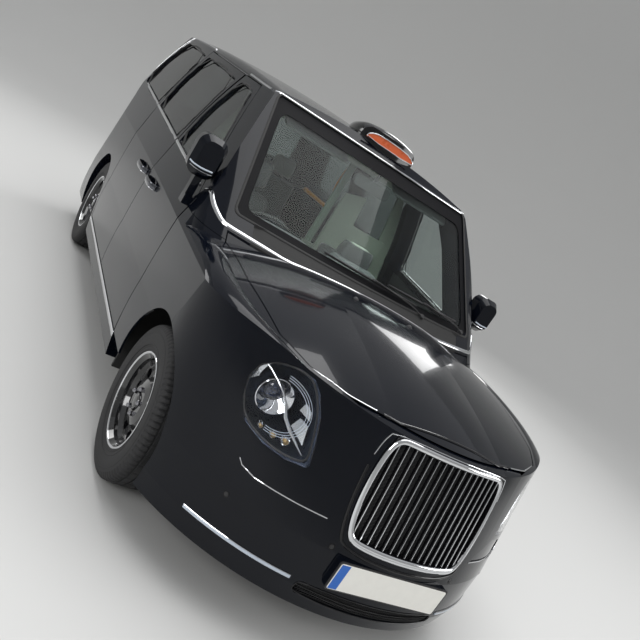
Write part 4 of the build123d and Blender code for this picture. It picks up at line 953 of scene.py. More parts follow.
def nose_normal(point):
    """The outward direction of the nose at a place."""
    rise = NOSE_LEAN if point.z > NOSE_LEAN_FROM else -CHIN_LEAN if point.z < CHIN_FROM else 0.0
    return Vector((point.x, -sqrt(NOSE_RADIUS ** 2 - point.x ** 2), rise)).normalized()


def nose_bead(name, points, proud, width, height, looks, slot="grille_metal", closed=False, rounds=2):
    """A bead along front-view points on the nose."""
    flat = smooth_line([(x, 0, z) for x, z in points], 0.012, rounds, closed)
    line = on_nose([(p.x, p.z) for p in flat], proud)
    shape = swept(line, [nose_normal(p) for p in line], width, height, closed)
    return add_piece(name, *shape, looks, "body", slot)


def nose_wall(name, half, low, rise, rows, depth):
    """A dark wall behind the nose's skin."""
    across = [half * (column / 6 - 1) for column in range(13)]
    places = [(x, low + rise * row / (rows - 1)) for row in range(rows) for x in across]
    return add_piece(name, on_nose(places, -depth), grid_faces(rows, 13), SATIN_BLACK)


print("nose at the grille's foot", round(nose_y(0.0, 0.54), 4))

# %% [markdown]
# ## The grille
# The upright bars and their frame are solid pieces. What makes the grille shine in the photo is thin: each
# bar shows only its polished nose, and the frame is a rounded bead that grows heavier at the bottom.

# %% Grille frame and bar noses
# Half the opening's edge, as places across and up
GRILLE_EDGE = [(0.205, 0.5335), (0.262, 0.546), (0.283, 0.6), (0.2935, 0.68), (0.295, 0.76), (0.2905, 0.84),
               (0.281, 0.893), (0.262, 0.926), (0.222, 0.937)]
GRILLE_FOOT = [(-0.29, 0.67), (-0.2815, 0.6), (-0.262, 0.541), (-0.205, 0.5275), (0.0, 0.5265)]
BAR_COUNT = 16
BAR_PITCH = 0.034
BAR_HEIGHTS = (0.546, 0.66, 0.8, 0.924)

nose_bead("grille_frame_bead", mirrored(GRILLE_EDGE), 0.008, 0.019, 0.008, CHROME, closed=True, rounds=3)
nose_bead("grille_foot_bead", mirrored(GRILLE_FOOT), 0.0078, 0.0185, 0.0078, CHROME, rounds=3)
bar_noses = []
for bar_number in range(BAR_COUNT):
    x = BAR_PITCH * (bar_number - (BAR_COUNT - 1) / 2)
    line = on_nose([(x, z) for z in BAR_HEIGHTS], 0.0005)
    bar_noses.append(swept(line, [nose_normal(p) for p in line], 0.0045, 0.004))
add_piece("grille_bar_noses", *joined(bar_noses), CHROME, "body", "grille_metal")
print("grille:", BAR_COUNT, "bars")

# %% [markdown]
# ## Diamond mesh
# A diamond mesh fills the dark behind the bars. It is drawn wire by wire, each cut off where it leaves the
# opening, because a mesh drawn on a flat sheet gives itself away as soon as the camera moves. Two thin
# lines run round the frame, and the bonnet's front lip belongs to the bonnet, because it has to open with
# it.

# %% Diamond mesh and the lines round the frame
MESH_PITCH = 0.016
MESH_DEPTH = 0.02
MESH_WIRE = 0.0011
MESH_HALF = 0.30
MESH_LOW, MESH_HIGH = 0.54, 0.93
MESH_GAP = 0.004


def grille_half_width(z):
    """Half the opening's width at a height."""
    for (near_x, near_z), (far_x, far_z) in zip(GRILLE_EDGE, GRILLE_EDGE[1:]):
        if z <= far_z:
            return near_x + (far_x - near_x) * (z - near_z) / (far_z - near_z)
    return GRILLE_EDGE[-1][0]


def mesh_wires():
    """Crossed wires that follow the nose from the opening's foot to its top."""
    parts = []
    rise = MESH_HIGH - MESH_LOW
    count = int(2 * (MESH_HALF + rise) / MESH_PITCH)
    for slope in (1, -1):
        for number in range(count + 1):
            foot_x = -MESH_HALF - rise / 2 + number * MESH_PITCH - slope * rise / 2
            run = []
            for part in range(13):
                z = MESH_LOW + rise * part / 12
                x = foot_x + slope * (z - MESH_LOW)
                if abs(x) < grille_half_width(z) - MESH_GAP:
                    run.append((x, z))
            if len(run) > 1:
                parts.append(bar(on_nose(run, -MESH_DEPTH), MESH_WIRE, 4))
    return joined(parts)


add_piece("grille_mesh", *mesh_wires(), STEEL, "body", "grille_metal")
nose_wall("grille_back", 0.3, 0.53, 0.41, 5, 0.045)

GRILLE_TOP = [(-0.322, 0.84), (-0.312, 0.905), (-0.29, 0.949)]
GRILLE_LOWER = [(0.322, 0.8), (0.318, 0.68), (0.3, 0.56), (0.27, 0.497), (0.0, 0.486)]
BONNET_LIP = [(-0.345, -2.3, 0.965), (-0.33, -2.29, 0.99), (-0.28, -2.27, 1.0)]

nose_bead("grille_top_line", mirrored(GRILLE_TOP), 0.0008, 0.0045, 0.0025, CHROME)
nose_bead("grille_lower_line", mirrored(GRILLE_LOWER), 0.0008, 0.012, 0.0045, GLOSS_BLACK)
strip("bonnet_lip", mirrored(BONNET_LIP), bonnet_skin, GLOSS_BLACK, "bonnet", 0.012, 0.004, rounds=3)
print("mesh pitch", MESH_PITCH)

# %% [markdown]
# ## Headlamps
# The clear cover is already a solid lens. Behind it the photo shows a ringed projector, a bright blade,
# fine light-guide rings, pale reflectors and small indicator bulbs. Each is placed by its front-view
# position and a depth behind the lens, which a ray finds, so nothing touches the cover.

# %% Places behind the lens
# The cover's edge, as places across and up
LAMP_EDGE = [(0.487, 0.680), (0.500, 0.760), (0.524, 0.850), (0.556, 0.915), (0.590, 0.951), (0.640, 0.953),
             (0.700, 0.928), (0.742, 0.880), (0.754, 0.820), (0.742, 0.750), (0.712, 0.690), (0.640, 0.664),
             (0.560, 0.662)]
LAMP_CENTRE = (0.640, 0.803)
LENS_WALL = 0.01
LENS_DEEP = finish("projector_glass", (0.01, 0.014, 0.03), 0.04, mottle=(6.0, 0.3), Coat_Weight=1.0,
                   Coat_Roughness=0.01)
REFLECTOR = finish("satin_reflector", (0.62, 0.64, 0.66), 0.24, metal=0.9, mottle=(30.0, 0.06),
                   ripple=(90.0, 0.05, 0.001))
GUIDE = finish("light_guide", (0.5, 0.56, 0.64), 0.2, mottle=(20.0, 0.05), Coat_Weight=0.6)
cover_skin = skin_of("headlamps")


def inside(point, outline):
    """Whether a point lies in a closed outline."""
    hit = False
    for (ax, ay), (bx, by) in zip(outline, outline[1:] + outline[:1]):
        if (ay > point[1]) != (by > point[1]) and point[0] < ax + (bx - ax) * (point[1] - ay) / (by - ay):
            hit = not hit
    return hit


def under_lens(x, z, depth, side):
    """A place behind the lens's inner face, from its place in front view."""
    hit, _, _, _ = cover_skin.ray_cast(Vector((side * x, AHEAD_OF_CAR, z)), Vector((0, 1, 0)))
    y = hit.y if hit else nose_y(x, z)
    return Vector((side * x, y + LENS_WALL + depth, z))


def facing(place, side, tilt=0.0):
    """Turns a shape made about X so that it looks forward, and a little outwards."""
    centre = Vector((side * place[0], place[1], place[2]))
    return Matrix.Translation(centre) @ Matrix.Rotation(-pi / 2 + side * tilt, 4, "Z")


def lamp_piece(name, shape, looks):
    """One part of a headlamp's inside."""
    return add_piece(name, *shape, looks, "body", "lamp_bowl")


print("lens in front of the projector at", round(under_lens(*LAMP_CENTRE, 0.0, 1).y, 3))

# %% [markdown]
# ## Projector and blade
# The projector is a funnel turned about its own axis. Its dark glass dome sits a little off centre, so the
# funnel's inner points are shifted with it. The blade is a bar that swells where it passes the projector.

# %% Projector and blade
PROJECTOR_PLACE = (0.640, -2.066, 0.803)
PROJECTOR_TILT = radians(12)
# Sections as (place along the axle, radius)
RING_SECTION = [(-0.034, 0.0405), (-0.03, 0.0405), (-0.018, 0.05), (-0.006, 0.0585), (0.001, 0.065),
                (0.0045, 0.0685), (0.003, 0.072), (-0.004, 0.0735), (-0.05, 0.0735), (-0.05, 0.07),
                (-0.034, 0.044)]
DOME_SECTION = [(-0.045, 0.0395), (-0.03, 0.0395), (-0.024, 0.036), (-0.017, 0.0285), (-0.012, 0.0185),
                (-0.0095, 0.009), (-0.009, 0.0)]
DOME_SHIFT = (0.007, 0.015)
SHIFT_FROM, SHIFT_OVER = 0.07, 0.0295
# Place across, height, half thickness
BLADE = [(0.735, 0.902, 0.002), (0.704, 0.889, 0.0025), (0.672, 0.868, 0.003), (0.644, 0.845, 0.0035),
         (0.624, 0.818, 0.0045), (0.606, 0.778, 0.0075), (0.576, 0.746, 0.0065), (0.546, 0.722, 0.004),
         (0.516, 0.7, 0.0015)]
BLADE_DEPTH = 0.006


def fill_projector(side, word):
    """The projector's ring and glass and the blade beside it."""
    look = facing(PROJECTOR_PLACE, side, PROJECTOR_TILT)
    vertices, faces = turned(RING_SECTION + RING_SECTION[:1], 64)
    shift = Vector((0, side * DOME_SHIFT[0], DOME_SHIFT[1]))
    funnel = []
    for vertex in vertices:
        reach = sqrt(vertex[1] ** 2 + vertex[2] ** 2)
        funnel.append(Vector(vertex) + shift * max(0.0, min(1.0, (SHIFT_FROM - reach) / SHIFT_OVER)))
    lamp_piece(f"projector_ring_{word}", moved((funnel, faces), look), CHROME)
    lamp_piece(f"projector_glass_{word}", moved(turned(DOME_SECTION, 48, shift, 1), look), LENS_DEEP)
    blade = [under_lens(x, z, BLADE_DEPTH + size, side) for x, z, size in BLADE]
    lamp_piece(f"lamp_blade_{word}", bar(blade, [size for _, _, size in BLADE], 10), CHROME)


print("blade of", len(BLADE), "places")

# %% [markdown]
# ## Light guides and reflectors
# The guides are arcs round the projector, cut where they would leave the lamp. The reflectors are small
# bowed sheets behind the lens, each at its own depth.

# %% Light guides and reflectors
GUIDE_RADII = (0.088, 0.096, 0.104)
GUIDE_WIRE = 0.0009
GUIDE_DEPTH = 0.012
GUIDE_SHARE = 0.93
PANEL_STEPS = 6
PANEL_BOW = 0.008
# Four corners as places across and up, depth
REFLECTORS = [
    ([(0.748, 0.8), (0.742, 0.868), (0.706, 0.902), (0.722, 0.84)], 0.014),
    ([(0.572, 0.862), (0.545, 0.842), (0.54, 0.812), (0.58, 0.826)], 0.012),
    ([(0.56, 0.8), (0.528, 0.79), (0.518, 0.722), (0.575, 0.76)], 0.03),
]


def guide_arcs(side):
    """Fine rings round the projector, kept inside the lamp."""
    parts = []
    middle_x, middle_z = LAMP_CENTRE
    shrunk = [(middle_x + (x - middle_x) * GUIDE_SHARE, middle_z + (z - middle_z) * GUIDE_SHARE)
              for x, z in LAMP_EDGE]
    for reach in GUIDE_RADII:
        run = []
        for part in range(97):
            angle = 2 * pi * part / 96
            x, z = middle_x + reach * cos(angle), middle_z + reach * sin(angle)
            if inside((x, z), shrunk) and cos(angle) < 0.1:
                run.append(under_lens(x, z, GUIDE_DEPTH, side))
            elif len(run) > 3:
                parts.append(bar(run, GUIDE_WIRE, 6))
                run = []
        if len(run) > 3:
            parts.append(bar(run, GUIDE_WIRE, 6))
    return joined(parts)


def reflector_panel(corners, depth, side):
    """A curved sheet between four front-view corners, behind the lens."""
    a, b, c, d = (Vector((x, z)) for x, z in corners)
    points = []
    for row in range(PANEL_STEPS + 1):
        left, right = a.lerp(d, row / PANEL_STEPS), b.lerp(c, row / PANEL_STEPS)
        for column in range(PANEL_STEPS + 1):
            place = left.lerp(right, column / PANEL_STEPS)
            bow = PANEL_BOW * (1 - (2 * column / PANEL_STEPS - 1) ** 2)
            points.append(under_lens(place.x, place.y, depth + bow, side))
    return points, grid_faces(PANEL_STEPS + 1, PANEL_STEPS + 1)


def fill_guides(side, word):
    """The light guides and the three reflectors."""
    lamp_piece(f"light_guides_{word}", guide_arcs(side), GUIDE)
    panels = [reflector_panel(corners, depth, side) for corners, depth in REFLECTORS]
    lamp_piece(f"lamp_reflectors_{word}", joined(panels), REFLECTOR)


print(len(REFLECTORS), "reflectors in each lamp")

# %% [markdown]
# ## Indicator bulbs and the lamp's rim
# Three small chrome cups hold the indicator bulbs. All sizes in a cup are shares of its own radius, so one
# recipe makes three sizes. A black rim hides where the lamp meets the bumper.

# %% Indicators, rim and both lamps
# Place across, height, radius
INDICATORS = ((0.572, 0.706, 0.015), (0.612, 0.7, 0.012), (0.655, 0.702, 0.01))
INDICATOR_DEPTH = 0.022
# Sections as (place along the axle, share of the cup's radius)
CUP = [(-0.012, 0.7), (0.0, 1.0), (0.003, 1.12), (0.0, 1.22), (-0.012, 1.2)]
CUP_FLOOR = [(-0.0095, 0.9), (-0.009, 0.4), (-0.009, 0.0)]
BULB_SECTION = [(-0.008, 0.5), (0.0, 0.45), (0.005, 0.25), (0.006, 0.0)]
RIM_SHARE = 0.955
RIM_DEPTH = 0.004


def fill_edge(side, word):
    """The indicator bulbs in their cups, and the rim behind the cover's edge."""
    bulbs, cups = [], []
    for x, z, size in INDICATORS:
        look = facing(under_lens(x, z, INDICATOR_DEPTH, 1), side)
        shapes = ((CUP_FLOOR, 24, cups), (CUP + CUP[:1], 28, cups), (BULB_SECTION, 24, bulbs))
        for section, steps, parts in shapes:
            scaled = [(along, size * share) for along, share in section]
            parts.append(moved(turned(scaled, steps), look))
    lamp_piece(f"indicator_cups_{word}", joined(cups), CHROME)
    lamp_piece(f"indicator_bulbs_{word}", joined(bulbs), BULB)
    middle = Vector(LAMP_CENTRE)
    rim = [under_lens(*middle.lerp(Vector(corner), RIM_SHARE), RIM_DEPTH, side) for corner in LAMP_EDGE]
    line = smooth_line(rim, 0.01, 2, True)
    shape = swept(line, [Vector((0, -1, 0))] * len(line), 0.008, 0.004, True)
    lamp_piece(f"lamp_rim_{word}", shape, SATIN_BLACK)


for side, word in SIDES:
    fill_projector(side, word)
    fill_guides(side, word)
    fill_edge(side, word)
print("lamps filled")

# %% [markdown]
# ## Plate and intake
# The lower nose carries the plate on its holder and a meshed intake below it. The plate has only its blue
# band and no words.

# %% Plate and intake
PLATE_WIDE, PLATE_HIGH = 0.52, 0.111
PLATE_Z = 0.41
PLATE_FRONT = cad_low.y - 0.0002
HOLDER_RIM = 0.012
BAND_NEAR, BAND_FAR = 0.218, 0.257
BAND_HALF = 0.0525
INTAKE_LIP = [(-0.34, 0.287), (-0.322, 0.32), (0.322, 0.32), (0.34, 0.287), (0.322, 0.254), (-0.322, 0.254)]
RIB_PITCH = 0.0145
CROSS_PITCH = 0.0098


def band(near, far, middle):
    """The outline of a plate's blue band."""
    low, high = middle - BAND_HALF, middle + BAND_HALF
    return [(near, low), (far, low), (far, high), (near, high)]


def plate_part(name, outline, low, high, looks):
    """One layer of the front plate, between two depths ahead of or behind its face."""
    shape = slab(outline, PLATE_FRONT + low, PLATE_FRONT + high, 1)
    return add_piece(name, *shape, looks)


plate = at(rounded(PLATE_WIDE, PLATE_HIGH, 0.008), (0, PLATE_Z))
holder = at(rounded(PLATE_WIDE + HOLDER_RIM, PLATE_HIGH + HOLDER_RIM, 0.01), (0, PLATE_Z))
soften(plate_part("front_plate", plate, -0.004, 0.0, PLATE_WHITE), 0.0008)
plate_part("front_plate_band", band(-BAND_FAR, -BAND_NEAR, PLATE_Z), -0.0045, -0.0035, PLATE_BLUE)
plate_part("front_plate_holder", holder, -0.002, 0.004, SATIN_BLACK)
nose_wall("intake_back", 0.335, 0.258, 0.058, 4, 0.03)
ribs = []
for row in range(4):
    z = 0.265 + RIB_PITCH * row
    ribs.append(bar(on_nose([(0.33 * (column / 10 - 1), z) for column in range(21)], -0.004), 0.0022, 6))
for column in range(66):
    x = CROSS_PITCH * (column - 32.5)
    ribs.append(bar(on_nose([(x - 0.003, 0.258), (x + 0.003, 0.287), (x - 0.003, 0.316)], -0.005), 0.0015, 4))
add_piece("intake_mesh", *joined(ribs), GLOSS_BLACK)
nose_bead("intake_lip", INTAKE_LIP, 0.0005, 0.005, 0.003, GLOSS_BLACK, "black_trim", closed=True)
print("intake of", len(ribs), "wires")

# %% [markdown]
# ## Day lamps, vents and sensors
# Two day-running strips with bright lips end the bumper at its foot, side vents are edged with chrome, and
# small round sensors sit flush in it. All of these are settled on the bumper's own surface.

# %% Day lamps, vents and sensors
BACKWARD = Vector((0, 1, 0))
# Places across and up
DAY_LAMP = ((0.363, 0.3105), (0.45, 0.307), (0.6, 0.303), (0.738, 0.3))
DAY_LAMP_Y = -2.4
VENT_EDGE = [(0.488, -2.262, 0.66), (0.6, -2.19, 0.636), (0.692, -2.117, 0.613), (0.69, -2.12, 0.6),
             (0.648, -2.174, 0.546), (0.5, -2.28, 0.555), (0.36, -2.345, 0.566)]
SENSOR = [(-0.001, 0.009), (0.002, 0.0085), (0.0026, 0.006), (0.0026, 0.0)]
SENSOR_RING = [(-0.001, 0.0095), (0.0015, 0.0105), (0.0015, 0.0125), (-0.001, 0.0135)]
SENSOR_PLACES = ((0.3, 0.485), (0.66, 0.44))

bumper_skin = skin_of("front_bumper")
for side, word in SIDES:
    for part, rise, width, looks in (("lens", 0.0, 0.0135, GUIDE), ("line", 0.0075, 0.0045, CHROME)):
        run = flip([(x, DAY_LAMP_Y, z + rise) for x, z in DAY_LAMP], side)
        strip(f"day_lamp_{part}_{word}", run, bumper_skin, looks, "body", width, 0.0045, slot="lamp_lens",
              toward=BACKWARD)
    strip(f"vent_edge_{word}", flip(VENT_EDGE, side), bumper_skin, CHROME, "body", 0.005, 0.003, rounds=1)
sensors, sensor_rings = [], []
for x, z in SENSOR_PLACES:
    for side, _ in SIDES:
        places, normals = settle([Vector((side * x, nose_y(x, z), z))], bumper_skin)
        sensors.append(stud(SENSOR, 24, places[0], normals[0]))
        sensor_rings.append(stud(SENSOR_RING, 24, places[0], normals[0]))
add_piece("parking_sensors", *joined(sensors), SATIN_BLACK)
add_piece("sensor_rings", *joined(sensor_rings), GLOSS_BLACK)
print("bumper details made,", len(sensors), "sensors")

# %% [markdown]
# ## Door handles
# The two handles of each side meet at the middle pillar, because the rear doors open backwards. Each is a
# broad glossy grip with a bright line below, over an oval line that marks its dish. A flattened bar along
# five places makes the grip, so that its feet curve into the door.

# %% Handles
HANDLE_Z = 0.955
HANDLE_STAND = 0.966
HANDLE_TURN = 0.024
DOOR_SKIN_X = 0.9345
DISH_HALF, DISH_HIGH = 0.088, 0.03
# Where each handle starts and ends along the car
HANDLES = {"front": (-0.255, -0.014), "rear": (0.385, 0.126)}


def handle_shapes(near, far):
    """The grip, its bright line and its feet between two places along the car, for the +X side."""
    turn = HANDLE_TURN if far > near else -HANDLE_TURN
    foot, knee = DOOR_SKIN_X - 0.004, HANDLE_STAND - 0.006
    grip = smooth_line([(foot, near, HANDLE_Z), (knee, near + turn, HANDLE_Z),
                        (HANDLE_STAND, (near + far) / 2, HANDLE_Z), (knee, far - turn, HANDLE_Z),
                        (foot, far, HANDLE_Z)], 0.012, 2)
    line = [Vector((p.x + 0.0015, p.y, p.z - 0.0155)) for p in grip[2:-2]]
    return bar(grip, 0.0075, 12, 2.1), bar(line, 0.0024, 8)


def put_handle(side, word, door):
    """One handle with its dish on a door."""
    near, far = HANDLES[door]
    grip, line = handle_shapes(near, far)
    mirror = Matrix.Scale(-1, 4, (1, 0, 0)) if side < 0 else Matrix.Identity(4)
    body = f"door_{door}_{word}"
    add_piece(f"handle_{door}_{word}", *moved(grip, mirror), HANDLE_GLOSS, body)
    add_piece(f"handle_line_{door}_{word}", *moved(line, mirror), CHROME, body, "body_paint")
    middle = (near + far) / 2
    oval = [(DOOR_SKIN_X, middle + DISH_HALF * cos(pi * part / 8), HANDLE_Z + DISH_HIGH * sin(pi * part / 8))
            for part in range(16)]
    strip(f"handle_dish_{door}_{word}", flip(oval, side), skin_of(body), GLOSS_BLACK, body, 0.006, 0.0022,
          closed=True, rounds=1)


print("handles stand", round(1000 * (HANDLE_STAND - DOOR_SKIN_X)), "mm proud")

# %% [markdown]
# ## Window seals and mirrors
# The windows sit in black rubber, and the mirrors hold real silvered glass that looks back along the car. A
# seal is a bead that runs round the window a little outside its corners, settled on the door from the side.

# %% Seals and mirrors
# Window corners as places along the car and up
WINDOWS = {
    "front": [(-0.801, 1.1639), (-0.272, 1.676), (-0.004, 1.6887), (0.006, 1.2161)],
    "rear": [(0.106, 1.2161), (0.116, 1.6887), (0.984, 1.7243), (0.984, 1.2696)],
    "quarter": [(1.076, 1.2696), (1.076, 1.7243), (1.868, 1.7488), (1.962, 1.3209)],
}
SEAL_X = 0.87
SEAL_OUT = 0.011
MIRROR_X, MIRROR_Z = 0.945, 1.306
WINKER = [(0.9, -0.925, 1.258), (0.95, -0.93, 1.252), (1.0, -0.915, 1.256), (1.012, -0.9, 1.26)]
MIRROR_LINE = [(0.885, -0.925, 1.245), (0.95, -0.93, 1.236), (1.005, -0.915, 1.244)]


def put_seal(side, word, window, outline):
    """The rubber round one window."""
    carrier = f"bodyside_{word}" if window == "quarter" else f"door_{window}_{word}"
    body = "body" if window == "quarter" else carrier
    middle_y = sum(y for y, _ in outline) / 4
    middle_z = sum(z for _, z in outline) / 4
    wide = [(SEAL_X, y + SEAL_OUT * (1 if y > middle_y else -1), z + SEAL_OUT * (1 if z > middle_z else -1))
            for y, z in outline]
    strip(f"window_seal_{window}_{word}", flip(wide, side), skin_of(carrier), SEAL, body, 0.012, 0.0028,
          slot="black_trim", closed=True, toward=Vector((-side, 0, 0)))


def put_mirror(side, word):
    """The glass, frame, indicator and bright line of one door mirror."""
    body = f"door_front_{word}"
    shell = skin_of(body)
    place = (side * MIRROR_X, MIRROR_Z)
    glass = slab(at(rounded(0.122, 0.168, 0.03, 6), place), -0.816, -0.8085, 1)
    rim = slab(at(rounded(0.132, 0.178, 0.034, 6), place), -0.818, -0.8105, 1)
    add_piece(f"mirror_glass_{word}", *glass, MIRROR, body, "side_glass")
    soften(add_piece(f"mirror_frame_{word}", *rim, SATIN_BLACK, body), 0.0015)
    strip(f"mirror_winker_{word}", flip(WINKER, side), shell, GUIDE, body, 0.007, 0.003, slot="lamp_lens",
          toward=BACKWARD)
    strip(f"mirror_line_{word}", flip(MIRROR_LINE, side), shell, CHROME, body, 0.004, 0.0025, toward=BACKWARD)


for side, word in SIDES:
    for door in HANDLES:
        put_handle(side, word, door)
    for window, outline in WINDOWS.items():
        put_seal(side, word, window, outline)
    put_mirror(side, word)
print("doors dressed")

# %% [markdown]
# ## The windscreen's edge
# Round its edge the windscreen is printed black on the inside, and a rubber gasket closes it to the body.
# The pane is a shallow bow that leans back, so one formula places everything that lies on it.

# %% Windscreen print and gasket
SCREEN_HALF = 0.78
SCREEN_FOOT_Y, SCREEN_FOOT_Z = -1.22, 1.148
SCREEN_BOW = 0.111
SCREEN_LEAN = 1.041
PRINT_DEPTH = -0.0062
# Corners as places across and up
SCREEN_EDGE = [(-0.768, 1.176), (0.768, 1.176), (0.68, 1.735), (-0.68, 1.735)]
SCREEN_INNER = [(-0.722, 1.207), (0.722, 1.207), (0.648, 1.672), (-0.648, 1.672)]
GASKET_EDGE = [(-0.773, 1.171), (0.773, 1.171), (0.685, 1.74), (-0.685, 1.74)]


def screen_normal(x):
    """The windscreen's outward direction."""
    return Vector((2 * SCREEN_BOW * x / SCREEN_HALF ** 2, -1.0, SCREEN_LEAN)).normalized()


def on_screen(x, z, proud=0.0):
    """A place on the windscreen's outer face, moved out by an amount."""
    y = SCREEN_FOOT_Y + SCREEN_BOW * (x / SCREEN_HALF) ** 2 + SCREEN_LEAN * (z - SCREEN_FOOT_Z)
    return Vector((x, y, z)) + screen_normal(x) * proud


def even_outline(corners, radius, count):
    """A closed outline of evenly spread points with its corners rounded off."""
    points = []
    shares = [part / 6 for part in range(7)]
    for place, corner in enumerate(corners):
        here = Vector(corner)
        before, after = Vector(corners[place - 1]), Vector(corners[(place + 1) % 4])
        start = here + (before - here).normalized() * radius
        stop = here + (after - here).normalized() * radius
        points.extend(start.lerp(here, t).lerp(here.lerp(stop, t), t) for t in shares)
        far = after + (here - after).normalized() * radius
        points.extend(stop.lerp(far, part / count) for part in range(1, count))
    return points


outer = even_outline(SCREEN_EDGE, 0.03, 14)
inner = even_outline(SCREEN_INNER, 0.05, 14)
ring = [on_screen(p.x, p.y, PRINT_DEPTH) for p in outer + inner]
edge_points = len(outer)
ring_faces = [(k, (k + 1) % edge_points, edge_points + (k + 1) % edge_points, edge_points + k)
              for k in range(edge_points)]
add_piece("windscreen_print", ring, ring_faces, SCREEN_PRINT)
gasket = [on_screen(p.x, p.y, 0.001) for p in even_outline(GASKET_EDGE, 0.032, 14)]
rubber = swept(gasket, [screen_normal(p.x) for p in gasket], 0.013, 0.003, True)
add_piece("windscreen_gasket", *rubber, SEAL)
print("windscreen edge of", edge_points, "points")

# %% [markdown]
# ## Wipers and jets
# Two wipers lie parked low across the windscreen. Each is a rubber lip, a spine that is thickest in its
# middle, an arm that stands off the glass, a hub and a clip, all joined into one piece. The washer jets are
# small studs on the bonnet, so they lift with it.

# %% Wipers and jets
# Blade from, blade to, pivot, all as places across and up
WIPERS = [((-0.3, 1.212), (0.31, 1.198), (0.36, 1.168)), ((0.1, 1.222), (0.64, 1.216), (0.7, 1.182))]
WIPER_PARTS = 16
ARM_SHARE = 0.72
WIPER_HUB = [(-0.02, 0.014), (0.004, 0.014), (0.01, 0.011), (0.012, 0.0)]
JET = [(-0.001, 0.014), (0.005, 0.012), (0.009, 0.007), (0.01, 0.0)]


def wiper(start, stop, pivot):
    """One parked wiper."""
    shares = [part / WIPER_PARTS for part in range(WIPER_PARTS + 1)]
    blade = [(start[0] + (stop[0] - start[0]) * share, start[1] + (stop[1] - start[1]) * share)
             for share in shares]
    lip = bar([on_screen(x, z, 0.0035) for x, z in blade], 0.0022, 6, 1.6)
    swell = [0.003 + 0.004 * sin(pi * share) for share in shares]
    spine = bar([on_screen(x, z, 0.0115) for x, z in blade], swell, 8, 0.8)
    middle = blade[WIPER_PARTS // 2]
    rest = 1 - ARM_SHARE
    knee = (pivot[0] * ARM_SHARE + middle[0] * rest, pivot[1] * ARM_SHARE + middle[1] * rest + 0.004)
    bends = [on_screen(*pivot, 0.006), on_screen(*knee, 0.026), on_screen(*middle, 0.022)]
    line = smooth_line(bends, 0.02, 2)
    arm = bar(line, [0.0065] * 3 + [0.0045] * (len(line) - 3), 8, 0.7)
    outward = screen_normal(pivot[0])
    hub = stud(WIPER_HUB, 20, on_screen(*pivot, 0.004), outward)
    clip = slab(rounded(0.034, 0.012, 0.004, 3), -0.004, 0.006, 0)
    clip = moved(clip, seat(on_screen(*middle, 0.016), outward))
    return joined([lip, spine, arm, hub, clip])


for number, places in enumerate(WIPERS, 1):
    add_piece(f"wiper_{number}", *wiper(*places), SATIN_BLACK)
jets = []
for x in (-0.17, 0.17):
    places, normals = settle([Vector((x, -1.4, 1.2))], bonnet_skin, 0.0, Vector((0, 0, -1)))
    jets.append(stud(JET, 20, places[0], normals[0]))
add_piece("washer_jets", *joined(jets), SATIN_BLACK, "bonnet")
print(len(WIPERS), "wipers and", len(jets), "jets made")

# %% [markdown]
# ## The roof sign's lens
# The roof carries the taxi sign: a black hood with an orange lens in a thin bright rim, left blank. A ray
# from the front finds the hood's face, and the lens stands on it.

# %% The roof sign's lens
SIGN_EDGE = [(0.17, 1.801), (0.16, 1.826), (0.096, 1.846), (-0.096, 1.846), (-0.16, 1.826), (-0.17, 1.801)]
SIGN_MIDDLE_Z = 1.8205

hit, _, _, _ = skin_of("roof_sign").ray_cast(Vector((0, -1.5, 1.82)), BACKWARD)
sign_y = hit.y
inset = [(x * 0.985, SIGN_MIDDLE_Z + (z - SIGN_MIDDLE_Z) * 0.95) for x, z in SIGN_EDGE]
lens = slab(inset, sign_y - 0.0045, sign_y + 0.0005, 1)
soften(add_piece("sign_lens", *lens, SIGN_AMBER, "body", "sign_shell"), 0.002)
rim = smooth_line([(x, sign_y - 0.006, z) for x, z in SIGN_EDGE], 0.01, 1, True)
bead = swept(rim, [Vector((0, -1, 0))] * len(rim), 0.006, 0.003, True)
add_piece("sign_rim", *bead, CHROME, "body", "sign_shell")
print("sign's face at", round(sign_y, 3))

# %% [markdown]
# ## The rear lamps
# The photo doesn't show the back, so it gets only what every car of this kind carries. The lamps are solid
# red lenses already. Amber and pale sections for turning and reversing are laid over them, ribs mark the
# brake lamp, and a reflector sits low in the bumper.

# %% Rear lamps
BEHIND_CAR = 2.6
AHEAD = Vector((0, -1, 0))
LAMP_NEAR, LAMP_FAR = 0.795, 0.868
RIB_X = (0.795, 0.83, 0.87)
RIB_HEIGHTS = (0.83, 0.865, 0.9, 0.935)
REFLECTOR_NEAR, REFLECTOR_FAR = 0.62, 0.76


def rear_sheet(low, high, near, far, skin, lift):
    """A sheet laid on the back between two heights and two places across."""
    corners = [(x, BEHIND_CAR, z) for x, z in ((near, low), (far, low), (far, high), (near, high))]
    return patch(corners, 6, 5, skin, lift, AHEAD)


lamp_skin = skin_of("tail_lamps")
rear_skin = skin_of("rear_bumper")
for side, word in SIDES:
    for part, looks, low, high in (("turn", LENS_AMBER, 1.09, 1.165), ("reverse", REFLECTOR, 0.99, 1.06)):
        sheet = rear_sheet(low, high, side * LAMP_NEAR, side * LAMP_FAR, lamp_skin, 0.0012)
        add_piece(f"{part}_section_{word}", *sheet, looks, "body", "red_lens")
    for z in RIB_HEIGHTS:
        line = flip([(x, BEHIND_CAR, z) for x in RIB_X], side)
        strip(f"lamp_rib_{word}_{round(z * 1000)}", line, lamp_skin, LENS_RED, "body", 0.012, 0.003,
              slot="red_lens", rounds=0, toward=AHEAD)
    sheet = rear_sheet(0.43, 0.465, side * REFLECTOR_NEAR, side * REFLECTOR_FAR, rear_skin, 0.0015)
    add_piece(f"rear_reflector_{word}", *sheet, LENS_RED, "body", "red_lens")
print("rear lamps dressed")

